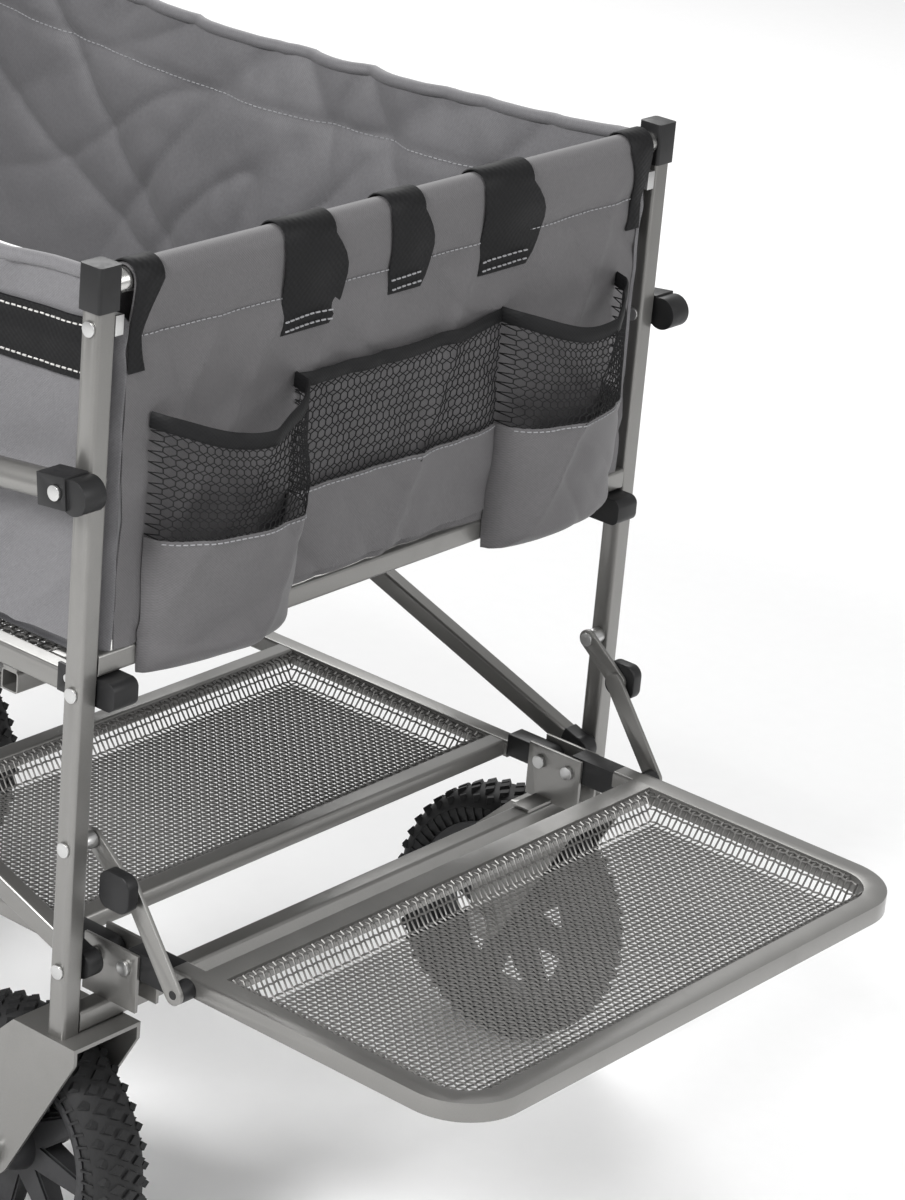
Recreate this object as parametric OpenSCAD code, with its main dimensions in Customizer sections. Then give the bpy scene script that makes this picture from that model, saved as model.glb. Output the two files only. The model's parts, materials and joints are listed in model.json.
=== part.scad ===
// Folding wagon with pull handle: end frames, folding decks, soft tub, rear cargo platform.
// The rear posts stand over x = rear_x, the wagon runs towards -X, and the floor is z = 0.

/* [Overall] */
// Distance between the centres of the left and right posts
track_w = 540; // [450:5:650]
// Distance between the centres of the rear and front posts
wagon_l = 660; // [600:5:800]
// Height of the post tops above the floor, caps included
cap_top_z = 725; // [690:1:840]

/* [Frame tubes] */
// Side of the square frame tubes
tube = 15; // [13:0.5:18]
// Wall of the frame tubes
tube_wall = 1.2; // [0.8:0.1:1.6]
// Corner radius of the frame tubes
tube_round = 2.5; // [2:0.1:3.5]
// Diameter of the round top rails
rail_d = 16; // [14:0.5:18]
// Distance from the cap top down to the axis of the round top rail
rail_drop = 14; // [12:1:16]
// Side of the square post caps
cap_w = 18.8; // [18.8:0.1:21]
// Height of the post caps
cap_h = 29; // [24:1:34]
// Height of the underside of the lower cross tubes
cross_z = 206; // [206:1:230]

/* [Bed] */
// Height of the deck pivots
deck_z = 446; // [430:1:470]
// How far the deck pivots stand inside the posts
deck_inset = 20; // [19:1:30]
// Height of the cross bar that carries the end panels, underside
bed_bar_z = 456; // [456:1:485]
// How far the middle hinges hang below the end pivots
mid_drop = 12; // [12:0.5:16]
// Depth of the wire mesh pans
pan_depth = 18; // [10:1:20]

/* [Lower shelf] */
// Height of the shelf and platform pivots
shelf_z = 250; // [246:1:262]
// Distance of the shelf pivots inside the rear posts
shelf_inset = 6; // [5:1:9]
// Distance of the platform pivot outside the rear posts
platform_out = 20; // [18:1:26]
// Width of the shelf and platform rails
flat_w = 16; // [14:1:20]
// Height of the shelf and platform rails
flat_h = 13; // [11:0.5:15]

/* [Platform] */
// Reach of the platform behind the rear posts
platform_l = 308; // [240:1:380]
// Distance from the rear posts to the platform's inner tube
platform_start = 75; // [70:1:90]
// Radius of the platform's outer corners
corner_r = 45; // [25:1:60]
// Gap from the post's inner face to the platform rail's outer face
platform_gap = 28; // [26:1:40]

/* [Side links] */
// Height of the side rail pivots on the posts
side_rail_z = 586; // [540:1:620]
// Diameter of the side rails
side_rail_d = 19; // [16:0.5:22]
// How far the side rails drop from the post to the middle joint
side_rail_fall = 39; // [20:1:60]
// Height of the brace pivots on the posts
brace_z = 253; // [245:1:262]
// How far the braces rise from the post to the middle joint
brace_rise = 115; // [70:1:140]

/* [Platform stays] */
// Height of the upper stay pivot
stay_top_z = 339.5; // [330:0.5:350]
// Knee of the stay: distance behind the post and height
knee_x = 30; // [28:0.5:34]
knee_z = 316; // [310:0.5:322]
// Lower stay pivot: distance behind the post and height
stay_foot_x = 73.4; // [68:0.1:80]
stay_foot_z = 256; // [255:0.1:259]
// Thickness of the stay strips
strip_t = 3; // [2:0.5:3.5]

/* [Wheels] */
// Wheel radius
wheel_r = 100; // [90:1:100]
// Tyre width
tyre_w = 44; // [36:1:48]
// Radius where the tyre sits on the rim
rim_r = 72; // [60:1:76]
// Radius of the axles
axle_r = 5; // [4:0.5:6]
// Distance of the rear axles inside the posts, along the wagon
rear_trail = 49; // [35:1:60]
// Distance of the rear wheel centres inside the posts, across the wagon
rear_wheel_in = 18.5; // [10:0.5:24]
// Distance of the front wheels from the middle plane
front_wheel_y = 115; // [95:1:150]
// Distance of the caster pivots inside the front posts
caster_in = 52; // [48:1:70]
// Caster trail
caster_trail = 53; // [40:1:60]

/* [Soft tub] */
// Thickness of the fabric panels and walls
cloth_t = 6; // [4:0.5:8]
// Height of the side walls' top hem below the caps
hem_drop = 12; // [8:1:30]
// Depth of the cup pockets
cup_depth = 53; // [40:1:60]
// Width of a cup pocket
cup_w = 128; // [100:1:140]
// Height of the pocket rims
pocket_top_z = 622; // [590:1:640]
// Underside of the cup pockets
cup_low_z = 450; // [440:1:470]

/* [Pull handle] */
// Height of the handle pivot
handle_z = 214; // [210:1:230]
// Length of the outer handle tube above its pivot
handle_tube_l = 345; // [300:5:400]
// Height of the grip's axis above the handle pivot, handle closed
grip_reach = 575; // [560:5:640]
// Radius of the outer handle tube
handle_r = 12; // [11:0.5:14]
// Lean of the closed handle towards the wagon, in degrees
handle_lean = 1; // [0.5:0.5:1.5]
// Width of the grip
grip_w = 130; // [100:5:160]

/* [Hidden] */
$fn = 48;

// clearances
slip = 0.4;          // between pieces that slide or turn on each other
bolt_r = 3;          // pivot bolts and rivets
bolt_play = 0.08;    // radial clearance of a pivot bolt in its hole
axle_play = 0.05;    // the same for an axle in its rim
head_r = 5;          // rivet and bolt heads
head_h = 1.6;

// places across the wagon
half_w = track_w / 2;
post_in = half_w - tube / 2;
post_out = half_w + tube / 2;
deck_rail_y = post_in - 3 - tube / 2;
flat_out = post_in - platform_gap;
flat_y = flat_out - flat_w / 2;
plate_t = 2.5;
plate_in = flat_out - flat_w - slip - plate_t;
plate_out = flat_out + slip;
brace_w = 13;
brace_y = post_in - 2 - brace_w / 2;
side_rail_y = post_out + 2 + side_rail_d / 2;
strip_gap = 0.5;
lower_strip_y = flat_out + 11.3;
upper_strip_y = lower_strip_y + strip_t + strip_gap;
knob_y = upper_strip_y + strip_t + strip_gap;
rear_wheel_y = half_w - rear_wheel_in;

// places along the wagon
half_link = (wagon_l - 2 * deck_inset) / 2;
mid_x = -wagon_l / 2;
shelf_mid_x = -shelf_inset - half_link;
shelf_front_x = shelf_mid_x - half_link;
kingpin_x = -wagon_l + caster_in;
front_axle_x = kingpin_x + caster_trail;
handle_x = -wagon_l - tube / 2 - handle_r - 23.5;
tube_start = 14;
front_reach = handle_x - handle_r * cos(handle_lean) + tube_start * sin(handle_lean);
x_shift = -(platform_l + front_reach) / 2;

// heights
post_top_z = cap_top_z - 13;
rail_z = cap_top_z - rail_drop;
deck_top_z = deck_z + 3;
deck_rail_z = deck_top_z - tube / 2;
under_tube_z = deck_top_z - tube - 2 - tube / 2;
flat_z = shelf_z + 2 - flat_h / 2;
platform_top_z = shelf_z + 14;
platform_rail_z = platform_top_z - flat_h / 2;
cross_mid_z = cross_z + tube / 2;
bed_bar_mid_z = bed_bar_z + tube / 2;
panel_low_z = bed_bar_z + tube + 1;
panel_x = 2;
hem_rivet_z = cap_top_z - 40;
sleeve_r = rail_d / 2 + 4;
fork_t = 3;
crown_top_z = cross_z;
fork_in = tyre_w / 2 + 5;

// ---------------------------------------------------------------- helpers

// everything is drawn from the rear posts and then placed over the origin
module place() {
    translate([x_shift, 0, 0]) children();
}

module both_sides() {
    children();
    mirror([0, 1, 0]) children();
}

// turns a piece of the rear end into the same piece of the front end
module front_end() {
    translate([-wagon_l, 0, 0]) mirror([1, 0, 0]) children();
}

module round_rect(w, h, r) {
    square([w - 2 * r, h], center = true);
    square([w, h - 2 * r], center = true);
    for (sx = [-1, 1], sy = [-1, 1])
        translate([sx * (w / 2 - r), sy * (h / 2 - r)]) circle(r);
}

module tube_profile(w, h) {
    difference() {
        round_rect(w, h, tube_round);
        round_rect(w - 2 * tube_wall, h - 2 * tube_wall, tube_round - tube_wall);
    }
}

module run_x(x0, x1, y, z, w, h) {
    translate([x0, y, z]) rotate([90, 0, 90]) linear_extrude(x1 - x0) tube_profile(w, h);
}

module run_y(y0, y1, x, z, w, h) {
    translate([x, y1, z]) rotate([90, 0, 0]) linear_extrude(y1 - y0) tube_profile(w, h);
}

module pin_y(x, y0, y1, z, r) {
    translate([x, y1, z]) rotate([90, 0, 0]) cylinder(h = y1 - y0, r = r);
}

module pin_hole(x, z, y0, y1, r = bolt_r + bolt_play) {
    pin_y(x, y0, y1, z, r);
}

module slab(x0, x1, y0, y1, z0, z1) {
    translate([x0, y0, z0]) cube([x1 - x0, y1 - y0, z1 - z0]);
}

// flat outline drawn in X and Z, pushed from y0 to y1
module plate_xz(y0, y1) {
    translate([0, y1, 0]) rotate([90, 0, 0]) linear_extrude(y1 - y0) children();
}

// strip with round ends between two points in X and Z
module strip_xz(a, b, w, y0, y1) {
    run = norm(b - a);
    turn = atan2(b[1] - a[1], b[0] - a[0]);
    plate_xz(y0, y1) translate(a) rotate(turn) {
        translate([0, -w / 2]) square([run, w]);
        circle(w / 2);
        translate([run, 0]) circle(w / 2);
    }
}

// ---------------------------------------------------------------- end frames

pivot_heights = [hem_rivet_z, side_rail_z, deck_z, brace_z];
rear_pivot_heights = concat(pivot_heights, [stay_top_z]);

module posts(heights) {
    both_sides() difference() {
        translate([0, half_w, cross_z]) linear_extrude(post_top_z - cross_z)
            tube_profile(tube, tube);
        for (z = heights) pin_hole(0, z, post_in - 1, post_out + 1, bolt_r);
    }
}

module caps() {
    both_sides() difference() {
        translate([0, half_w, cap_top_z - cap_h]) linear_extrude(cap_h)
            round_rect(cap_w, cap_w, 2.5);
        translate([0, half_w, cap_top_z - cap_h - 1])
            linear_extrude(post_top_z - cap_top_z + cap_h + 1)
                square(tube, center = true);
    }
}

module top_rail() {
    difference() {
        pin_y(0, -half_w + cap_w / 2, half_w - cap_w / 2, rail_z, rail_d / 2);
        pin_y(0, -half_w, half_w, rail_z, rail_d / 2 - tube_wall);
    }
}

module cross_tubes() {
    run_y(-post_in, post_in, 0, cross_mid_z, tube, tube);
    run_y(-post_in, post_in, 0, bed_bar_mid_z, tube, tube);
}

// end panel: a sleeve round the top rail with the cloth hanging from it
module end_panel() {
    y_end = half_w - cap_w / 2 - 10;
    difference() {
        plate_xz(-y_end, y_end) {
            translate([0, rail_z]) circle(sleeve_r);
            translate([panel_x, panel_low_z]) square([cloth_t, rail_z - panel_low_z]);
        }
        pin_y(0, -y_end - 1, y_end + 1, rail_z, rail_d / 2 + slip);
    }
}

// rivet through a post, with a head on its outer face
module post_rivet(z, y_start) {
    pin_y(0, y_start, post_out + head_h, z, bolt_r);
    pin_y(0, post_out, post_out + head_h, z, head_r);
}

// small U bracket under each cap that takes the hem wire
module hem_bracket() {
    difference() {
        slab(-7, 7, post_in - 7, post_in, hem_rivet_z - 6, hem_rivet_z + 7);
        slab(-8, 5, post_in - 6, post_in - 1, hem_rivet_z - 4, hem_rivet_z + 8);
        pin_hole(0, hem_rivet_z, post_in - 9, post_in + 1, bolt_r);
    }
}

// black block on the post's inner face that carries the deck pivot
block_y0 = deck_rail_y - tube / 2 - 3.5;
block_y1 = post_in - 0.2;
block_h = 19;

module pivot_block() {
    z0 = deck_z - 10;
    z1 = min(deck_z + 9, bed_bar_z - 1);
    cheek_x = -deck_inset - 8;
    difference() {
        union() {
            slab(-8.5, 14, block_y0, block_y1, z0, z1);
            plate_xz(block_y0, block_y1) translate([14, (z0 + z1) / 2])
                round_rect(16, z1 - z0, 6);
            slab(cheek_x, -8.5, block_y0, deck_rail_y - tube / 2 - slip, z0, z1);
            slab(cheek_x, -8.5, deck_rail_y + tube / 2 + slip, block_y1, z0, z1);
        }
        pin_hole(0, deck_z, block_y0 - 1, block_y1 + 1, bolt_r);
        pin_hole(-deck_inset, deck_z, block_y0 - 1, block_y1 + 1, bolt_r);
    }
}

// pair of stamped plates on the cross tube; holes lists the pivots' places
module bracket_pair(x0, x1, holes) {
    top_z = shelf_z + 12;
    for (y0 = [plate_in, plate_out]) difference() {
        slab(x0, x1, y0, y0 + plate_t, cross_z + tube, top_z);
        for (x = holes) pin_hole(x, shelf_z, y0 - 1, y0 + plate_t + 1, bolt_r);
    }
    // foot that is riveted to the cross tube
    slab(-tube / 2, tube / 2, plate_in - 26, plate_in, cross_z + tube, cross_z + tube + plate_t);
}

// bolt through a post and a side rail's end fitting
module side_rail_bolt() {
    fitting_y = side_rail_y + side_rail_d / 2 + 1.2;
    pin_y(0, post_in - head_h, fitting_y + 2, side_rail_z, bolt_r);
    pin_y(0, post_in - head_h, post_in, side_rail_z, head_r);
    pin_y(0, fitting_y, fitting_y + 2, side_rail_z, head_r);
}

module pivot_bolt(x, z, y0, y1) {
    pin_y(x, y0, y1, z, bolt_r);
    pin_y(x, y0 - 3, y0, z, head_r);
    pin_y(x, y1, y1 + 2.5, z, head_r);
}

module rear_posts() color("#a19d95") place() posts(rear_pivot_heights);
module rear_caps() color("#202124") place() caps();
module rear_top_rail() color("#b9b7b2") place() top_rail();
module rear_cross_tubes() color("#a19d95") place() cross_tubes();
module rear_panel() color("#77767b") place() end_panel();

// crown plate under the post and two legs running down to the axle
module fork_body(trail, top_z, crown_x0, crown_x1) {
    leg_z = top_z - fork_t;
    difference() {
        union() {
            slab(crown_x0, crown_x1, -fork_in - fork_t, fork_in + fork_t, leg_z, top_z);
            for (y0 = [-fork_in - fork_t, fork_in]) plate_xz(y0, y0 + fork_t) {
                polygon([
                    [crown_x0, top_z], [crown_x1, top_z], [crown_x1, top_z - 12],
                    [trail + 13, wheel_r - 8], [trail - 13, wheel_r - 8],
                    [min(crown_x0, trail - 15), top_z - 30]
                ]);
                translate([trail, wheel_r]) circle(axle_r + 10);
            }
        }
        pin_hole(trail, wheel_r, -fork_in - 10, fork_in + 10, axle_r);
    }
}

module rear_forks() color("#a19d95") place() both_sides()
    translate([0, rear_wheel_y, 0]) fork_body(-rear_trail, crown_top_z, -34, 22);

module axle(x, y) {
    reach = fork_in + fork_t;
    pin_y(x, y - reach - 2, y + reach + 2, wheel_r, axle_r);
    pin_y(x, y - reach - 6, y - reach, wheel_r, axle_r + 4);
    pin_y(x, y + reach, y + reach + 6, wheel_r, axle_r + 4);
}

module rear_hinge_brackets() color("#a5a29b") place() both_sides()
    bracket_pair(-shelf_inset - 11, platform_out + 11, [-shelf_inset, platform_out]);

module rear_pivot_blocks() color("#242427") place() both_sides() pivot_block();

module rear_hardware() color("#c9c9c9") place() both_sides() {
    hem_bracket();
    post_rivet(hem_rivet_z, post_in - 7);
    post_rivet(deck_z, block_y0);
    post_rivet(brace_z, brace_y - brace_w / 2 - 1);
    post_rivet(stay_top_z, upper_strip_y - head_h);
    pin_y(0, upper_strip_y - head_h, upper_strip_y, stay_top_z, head_r);
    pin_y(0, upper_strip_y + strip_t + slip, post_in, stay_top_z, head_r + 1);
    side_rail_bolt();
    pin_y(-deck_inset, block_y0, block_y1, deck_z, bolt_r);
    pivot_bolt(-shelf_inset, shelf_z, plate_in, plate_out + plate_t);
    pivot_bolt(platform_out, shelf_z, plate_in, plate_out + plate_t);
    axle(-rear_trail, rear_wheel_y);
}

// pockets on the rear panel: two cups and a flat one between them
pocket_x = max(panel_x + cloth_t, tube / 2 + 0.5);
pocket_wall = 2.5;
cup_out_y = block_y0 - 8;

module pocket(y0, y1, z0, z1, depth) {
    difference() {
        slab(pocket_x, pocket_x + depth, y0, y1, z0, z1);
        slab(pocket_x - 1, pocket_x + depth - pocket_wall, y0 + pocket_wall, y1 - pocket_wall,
            z0 + pocket_wall, z1 + 1);
    }
}

flat_pocket_y = cup_out_y - cup_w - 3;

module rear_pockets() color("#5f5e63") place() {
    both_sides()
        pocket(cup_out_y - cup_w, cup_out_y, cup_low_z, pocket_top_z, cup_depth);
    pocket(-flat_pocket_y, flat_pocket_y, bed_bar_z + tube + 10, pocket_top_z, 10);
}

// ---------------------------------------------------------------- wheels

module tyre() {
    tread = wheel_r - rim_r;
    rotate([90, 0, 0]) rotate_extrude() translate([rim_r + tread / 2, 0])
        round_rect(tread, tyre_w, min(9, tread / 2 - 1));
}

module rim() {
    hub_r = 17;
    hub_w = 2 * fork_in - 2;
    ring_w = tyre_w - 6;
    ring_t = 8;
    spokes = 8;
    difference() {
        union() {
            difference() {
                pin_y(0, -ring_w / 2, ring_w / 2, 0, rim_r);
                pin_y(0, -ring_w, ring_w, 0, rim_r - ring_t);
            }
            pin_y(0, -hub_w / 2, hub_w / 2, 0, hub_r);
            for (i = [0 : spokes - 1]) rotate([0, (i + 0.3) * 360 / spokes, 0])
                slab(hub_r - 4, rim_r - ring_t + 3, -6, 6, -7, 7);
        }
        pin_hole(0, 0, -hub_w, hub_w, axle_r + axle_play);
    }
}

module wheel_at(x, y) {
    place() translate([x, y, wheel_r]) children();
}

module rear_tyre_left() color("#1c1c1d") wheel_at(-rear_trail, -rear_wheel_y) tyre();
module rear_rim_left() color("#2d2d2f") wheel_at(-rear_trail, -rear_wheel_y) rim();
module rear_tyre_right() color("#1c1c1d") wheel_at(-rear_trail, rear_wheel_y) tyre();
module rear_rim_right() color("#2d2d2f") wheel_at(-rear_trail, rear_wheel_y) rim();
module front_tyre_left() color("#1c1c1d") wheel_at(front_axle_x, -front_wheel_y) tyre();
module front_rim_left() color("#2d2d2f") wheel_at(front_axle_x, -front_wheel_y) rim();
module front_tyre_right() color("#1c1c1d") wheel_at(front_axle_x, front_wheel_y) tyre();
module front_rim_right() color("#2d2d2f") wheel_at(front_axle_x, front_wheel_y) rim();

// ---------------------------------------------------------------- folding deck

// one knuckle of a middle hinge, with the lug that joins it to its rail
module knuckle(x, y0, y1, z) {
    pin_y(x, y0, y1, z, 5);
    slab(x, x + 10, y0, y1, z, z + 5);
}

// the rear half; the front half is its mirror image, with its knuckles beside these
module deck_half(knuckle_y) {
    near_x = -deck_inset + 7;
    end_x = mid_x + 7;
    both_sides() {
        difference() {
            run_x(end_x, near_x, deck_rail_y, deck_rail_z, tube, tube);
            pin_hole(-deck_inset, deck_z, deck_rail_y - tube, deck_rail_y + tube);
        }
        knuckle(mid_x, knuckle_y, knuckle_y + 5, deck_z - mid_drop);
    }
    for (x = [-67 - tube / 2, mid_x + 95]) run_y(-deck_rail_y - 6, deck_rail_y + 6,
        x, under_tube_z, tube, tube);
    for (x = [-deck_inset - 26, mid_x + 18])
        run_y(-deck_rail_y + tube / 2, deck_rail_y - tube / 2, x, deck_rail_z, tube, tube);
    // feet that join the rails to the tubes under them
    both_sides() for (x = [-67 - tube / 2, mid_x + 95])
        slab(x - 6, x + 6, deck_rail_y - 6, deck_rail_y + 6, deck_top_z - tube - 2,
            deck_top_z - tube);
}

// shallow pan of wire mesh between x0 and x1, y within half_y
module pan(x0, x1, half_y, top_z, depth) {
    sheet = 2;
    difference() {
        slab(x0, x1, -half_y, half_y, top_z - depth, top_z);
        slab(x0 + 4, x1 - 4, -half_y + 4, half_y - 4, top_z - depth + sheet, top_z + 1);
    }
}

deck_pan_x0 = mid_x + 18 + tube / 2;
deck_pan_x1 = -deck_inset - 26 - tube / 2;
deck_pan_y = deck_rail_y - tube / 2;

module deck_mesh() {
    slab(deck_pan_x0, deck_pan_x1, -deck_pan_y, deck_pan_y, deck_top_z - 3, deck_top_z - 1);
}

module floor_pad() {
    slab(mid_x + 3, -deck_inset - 7, -deck_pan_y + 4, deck_pan_y - 4, deck_top_z + 0.5,
        deck_top_z + 0.5 + cloth_t);
}

deck_knuckle_rear_y = deck_rail_y - 6;
deck_knuckle_front_y = deck_rail_y + 0.5;

module rear_deck_frame() color("#a19d95") place() deck_half(deck_knuckle_rear_y);
module rear_deck_mesh() color("#8b8b8a") place() deck_mesh();
module rear_floor_pad() color("#6f6e73") place() floor_pad();
module front_deck_frame() color("#a19d95") place() front_end() deck_half(deck_knuckle_front_y);
module front_deck_mesh() color("#8b8b8a") place() front_end() deck_mesh();
module front_floor_pad() color("#6f6e73") place() front_end() floor_pad();

// ---------------------------------------------------------------- lower shelf

shelf_end_l = 34;
shelf_tube_near = 50.5;
shelf_tube_far = 262.5;

// the half behind the middle joint, drawn from its own pivot at the rear
module shelf_half(knuckle_y) {
    both_sides() {
        run_x(shelf_mid_x + 7, -shelf_inset - shelf_end_l, flat_y, flat_z, flat_w, flat_h);
        knuckle(shelf_mid_x, knuckle_y, knuckle_y + 5, shelf_z - mid_drop);
    }
    for (x = [-shelf_tube_near, -shelf_tube_far])
        run_y(-flat_y + flat_w / 2, flat_y - flat_w / 2, x, flat_z, tube, flat_h);
}

module shelf_mesh() {
    pan(-shelf_tube_far + tube / 2, -shelf_tube_near - tube / 2, flat_y - flat_w / 2,
        shelf_z + 1, pan_depth);
}

module shelf_ends() {
    both_sides() difference() {
        plate_xz(flat_y - flat_w / 2, flat_y + flat_w / 2) {
            translate([-shelf_inset, shelf_z]) circle(8.5);
            translate([-shelf_inset - shelf_end_l, shelf_z - 8.5]) square([shelf_end_l, 17]);
        }
        pin_hole(-shelf_inset, shelf_z, 0, half_w);
    }
}

// mirror image about the shelf's own middle joint
module front_shelf_end() {
    translate([2 * shelf_mid_x, 0, 0]) mirror([1, 0, 0]) children();
}

module rear_shelf_frame() color("#a19d95") place() shelf_half(flat_y - 6);
module rear_shelf_mesh() color("#8b8b8a") place() shelf_mesh();
module rear_shelf_ends() color("#242427") place() shelf_ends();
module front_shelf_frame() color("#a19d95") place() front_shelf_end() shelf_half(flat_y + 0.5);
module front_shelf_mesh() color("#8b8b8a") place() front_shelf_end() shelf_mesh();
module front_shelf_ends() color("#242427") place() front_shelf_end() shelf_ends();

// ---------------------------------------------------------------- side rails and braces

side_rail_tilt = -atan2(side_rail_fall, wagon_l / 2);
side_rail_len = norm([side_rail_fall, wagon_l / 2]);
brace_tilt = atan2(brace_rise, wagon_l / 2);
brace_len = norm([brace_rise, wagon_l / 2]);

// draws a link along -X from its pivot, then tilts it up by an angle
module tilted_link(z, angle) {
    translate([0, 0, z]) rotate([0, angle, 0]) children();
}

// plate that reaches from a link's cut-back end to the middle joint
module joint_plate(len, cut, y0, y1, h) {
    plate_xz(y0, y1) {
        translate([-len, 0]) circle(h / 2);
        translate([-len, -h / 2]) square([cut + 12, h]);
    }
}

module side_rails() {
    both_sides() tilted_link(side_rail_z, side_rail_tilt)
        translate([-side_rail_len + 32, side_rail_y, 0]) rotate([0, 90, 0]) difference() {
            cylinder(h = side_rail_len - 32 - 16, d = side_rail_d);
            translate([0, 0, -1])
                cylinder(h = side_rail_len - 32 - 14, d = side_rail_d - 2 * tube_wall - 1);
        }
}

module side_rail_ends(plate_y) {
    r = side_rail_d / 2 + 1;
    both_sides() tilted_link(side_rail_z, side_rail_tilt) {
        difference() {
            union() {
                slab(-16, 8, side_rail_y - r + 1, side_rail_y + r, -r, r);
                pin_y(12, side_rail_y - r + 1, side_rail_y + r - 2, -2, r + 1);
            }
            pin_hole(0, 0, 0, half_w * 2);
        }
        translate([0, side_rail_y + plate_y, 0])
            joint_plate(side_rail_len, 20, 0, 3, side_rail_d - 4);
    }
}

module braces() {
    both_sides() tilted_link(brace_z, brace_tilt)
        run_x(-brace_len + 30, -14, brace_y, 0, brace_w, tube);
}

module brace_ends(plate_y) {
    both_sides() tilted_link(brace_z, brace_tilt) {
        difference() {
            union() {
                slab(-14, 2, brace_y - brace_w / 2, brace_y + brace_w / 2, -8.5, 8.5);
                pin_y(2, brace_y - brace_w / 2, brace_y + brace_w / 2, 0, 9.5);
            }
            pin_hole(0, 0, 0, half_w * 2);
        }
        translate([0, brace_y + plate_y, 0]) joint_plate(brace_len, 18, 0, 3, 12);
    }
}

module rear_side_rails() color("#a8a59e") place() side_rails();
module rear_side_rail_ends() color("#242427") place() side_rail_ends(1);
module front_side_rails() color("#a8a59e") place() front_end() side_rails();
module front_side_rail_ends() color("#242427") place() front_end() side_rail_ends(-4);
module rear_braces() color("#7d7a74") place() braces();
module rear_brace_ends() color("#242427") place() brace_ends(0.5);
module front_braces() color("#7d7a74") place() front_end() braces();
module front_brace_ends() color("#242427") place() front_end() brace_ends(-3.5);

// ---------------------------------------------------------------- rear platform

platform_end_x = platform_out + 38;

// plan outline of the platform: round outer corners, open towards the wagon
module platform_plan(inset) {
    r = corner_r - inset;
    y = flat_out - inset;
    x1 = platform_l - inset;
    union() {
        translate([platform_start, -y]) square([x1 - platform_start - r, 2 * y]);
        translate([platform_start, -y + r]) square([x1 - platform_start, 2 * (y - r)]);
        for (s = [-1, 1]) translate([x1 - r, s * (y - r)]) circle(r);
    }
}

module platform_frame() color("#a19d95") place() {
    low_z = platform_rail_z - flat_h / 2;
    difference() {
        union() {
            translate([0, 0, low_z]) linear_extrude(flat_h) difference() {
                platform_plan(0);
                intersection() {
                    platform_plan(flat_w);
                    translate([platform_start + flat_w, -half_w])
                        square([platform_l, 2 * half_w]);
                }
            }
            both_sides() run_x(platform_end_x, platform_start, flat_y, platform_rail_z, flat_w, flat_h);
        }
        both_sides() pin_hole(stay_foot_x, stay_foot_z, flat_out - 8, flat_out + 1, bolt_r);
    }
}

module platform_mesh() color("#8b8b8a") place() {
    sheet = 2;
    top_z = platform_top_z - 1;
    difference() {
        translate([0, 0, top_z - pan_depth]) linear_extrude(pan_depth) intersection() {
            platform_plan(flat_w);
            translate([platform_start + flat_w, -half_w]) square([platform_l, 2 * half_w]);
        }
        translate([0, 0, top_z - pan_depth + sheet]) linear_extrude(pan_depth) intersection() {
            platform_plan(flat_w + 4);
            translate([platform_start + flat_w + 4, -half_w]) square([platform_l, 2 * half_w]);
        }
    }
}

module platform_ends() color("#242427") place() both_sides() {
    difference() {
        plate_xz(flat_y - flat_w / 2, flat_y + flat_w / 2) {
            translate([platform_out, shelf_z]) circle(8.5);
            translate([platform_out, shelf_z - 6])
                square([platform_end_x - platform_out, platform_top_z - 1 - shelf_z + 6]);
        }
        pin_hole(platform_out, shelf_z, 0, half_w);
    }
    // spacer and bolt of the stay's foot
    pin_y(stay_foot_x, flat_out, lower_strip_y - slip, stay_foot_z, 7);
    pin_y(stay_foot_x, flat_out - 8, lower_strip_y + strip_t + 0.2, stay_foot_z, bolt_r);
}

knob_w = 26;
knee = [knee_x, knee_z];
stay_top = [0, stay_top_z];
stay_foot = [stay_foot_x, stay_foot_z];
strip_w = 14;

module stay_upper_links() color("#8f8c86") place() both_sides() difference() {
    strip_xz(stay_top, knee, strip_w, upper_strip_y, upper_strip_y + strip_t);
    pin_hole(0, stay_top_z, 0, half_w);
    pin_hole(knee_x, knee_z, 0, half_w, bolt_r + 0.3);
}

module stay_lower_links() color("#8f8c86") place() both_sides() difference() {
    strip_xz(knee, stay_foot, strip_w, lower_strip_y, lower_strip_y + strip_t);
    pin_hole(stay_foot_x, stay_foot_z, 0, half_w);
}

// rounded pull knob on the knee, with a stem through the upper strip
module knob() {
    plate_xz(knob_y, post_in - slip) translate(knee) round_rect(knob_w, knob_w, 8);
    pin_y(knee_x, upper_strip_y + 0.2, knob_y + 1, knee_z, bolt_r);
}

module stay_knobs() color("#242427") place() both_sides() knob();

// ---------------------------------------------------------------- front end

module front_posts() color("#a19d95") place() front_end() posts(pivot_heights);
module front_caps() color("#202124") place() front_end() caps();
module front_top_rail() color("#b9b7b2") place() front_end() top_rail();
module front_cross_tubes() color("#a19d95") place() front_end() cross_tubes();
module front_panel() color("#77767b") place() front_end() end_panel();
module front_pivot_blocks() color("#242427") place() front_end() both_sides() pivot_block();

ear_y = 15;
ear_t = 3;
caster_plate_z = cross_z + 3;

module front_hardware() color("#c9c9c9") place() {
    pin_y(handle_x, -ear_y - ear_t - 2, ear_y + ear_t + 2, handle_z, bolt_r + 1);
    both_sides() {
        pivot_bolt(shelf_front_x, shelf_z, plate_in, plate_out + plate_t);
        front_end() {
            hem_bracket();
            post_rivet(hem_rivet_z, post_in - 7);
            post_rivet(deck_z, block_y0);
            post_rivet(brace_z, brace_y - brace_w / 2 - 1);
            side_rail_bolt();
            pin_y(-deck_inset, block_y0, block_y1, deck_z, bolt_r);
        }
    }
}

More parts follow.
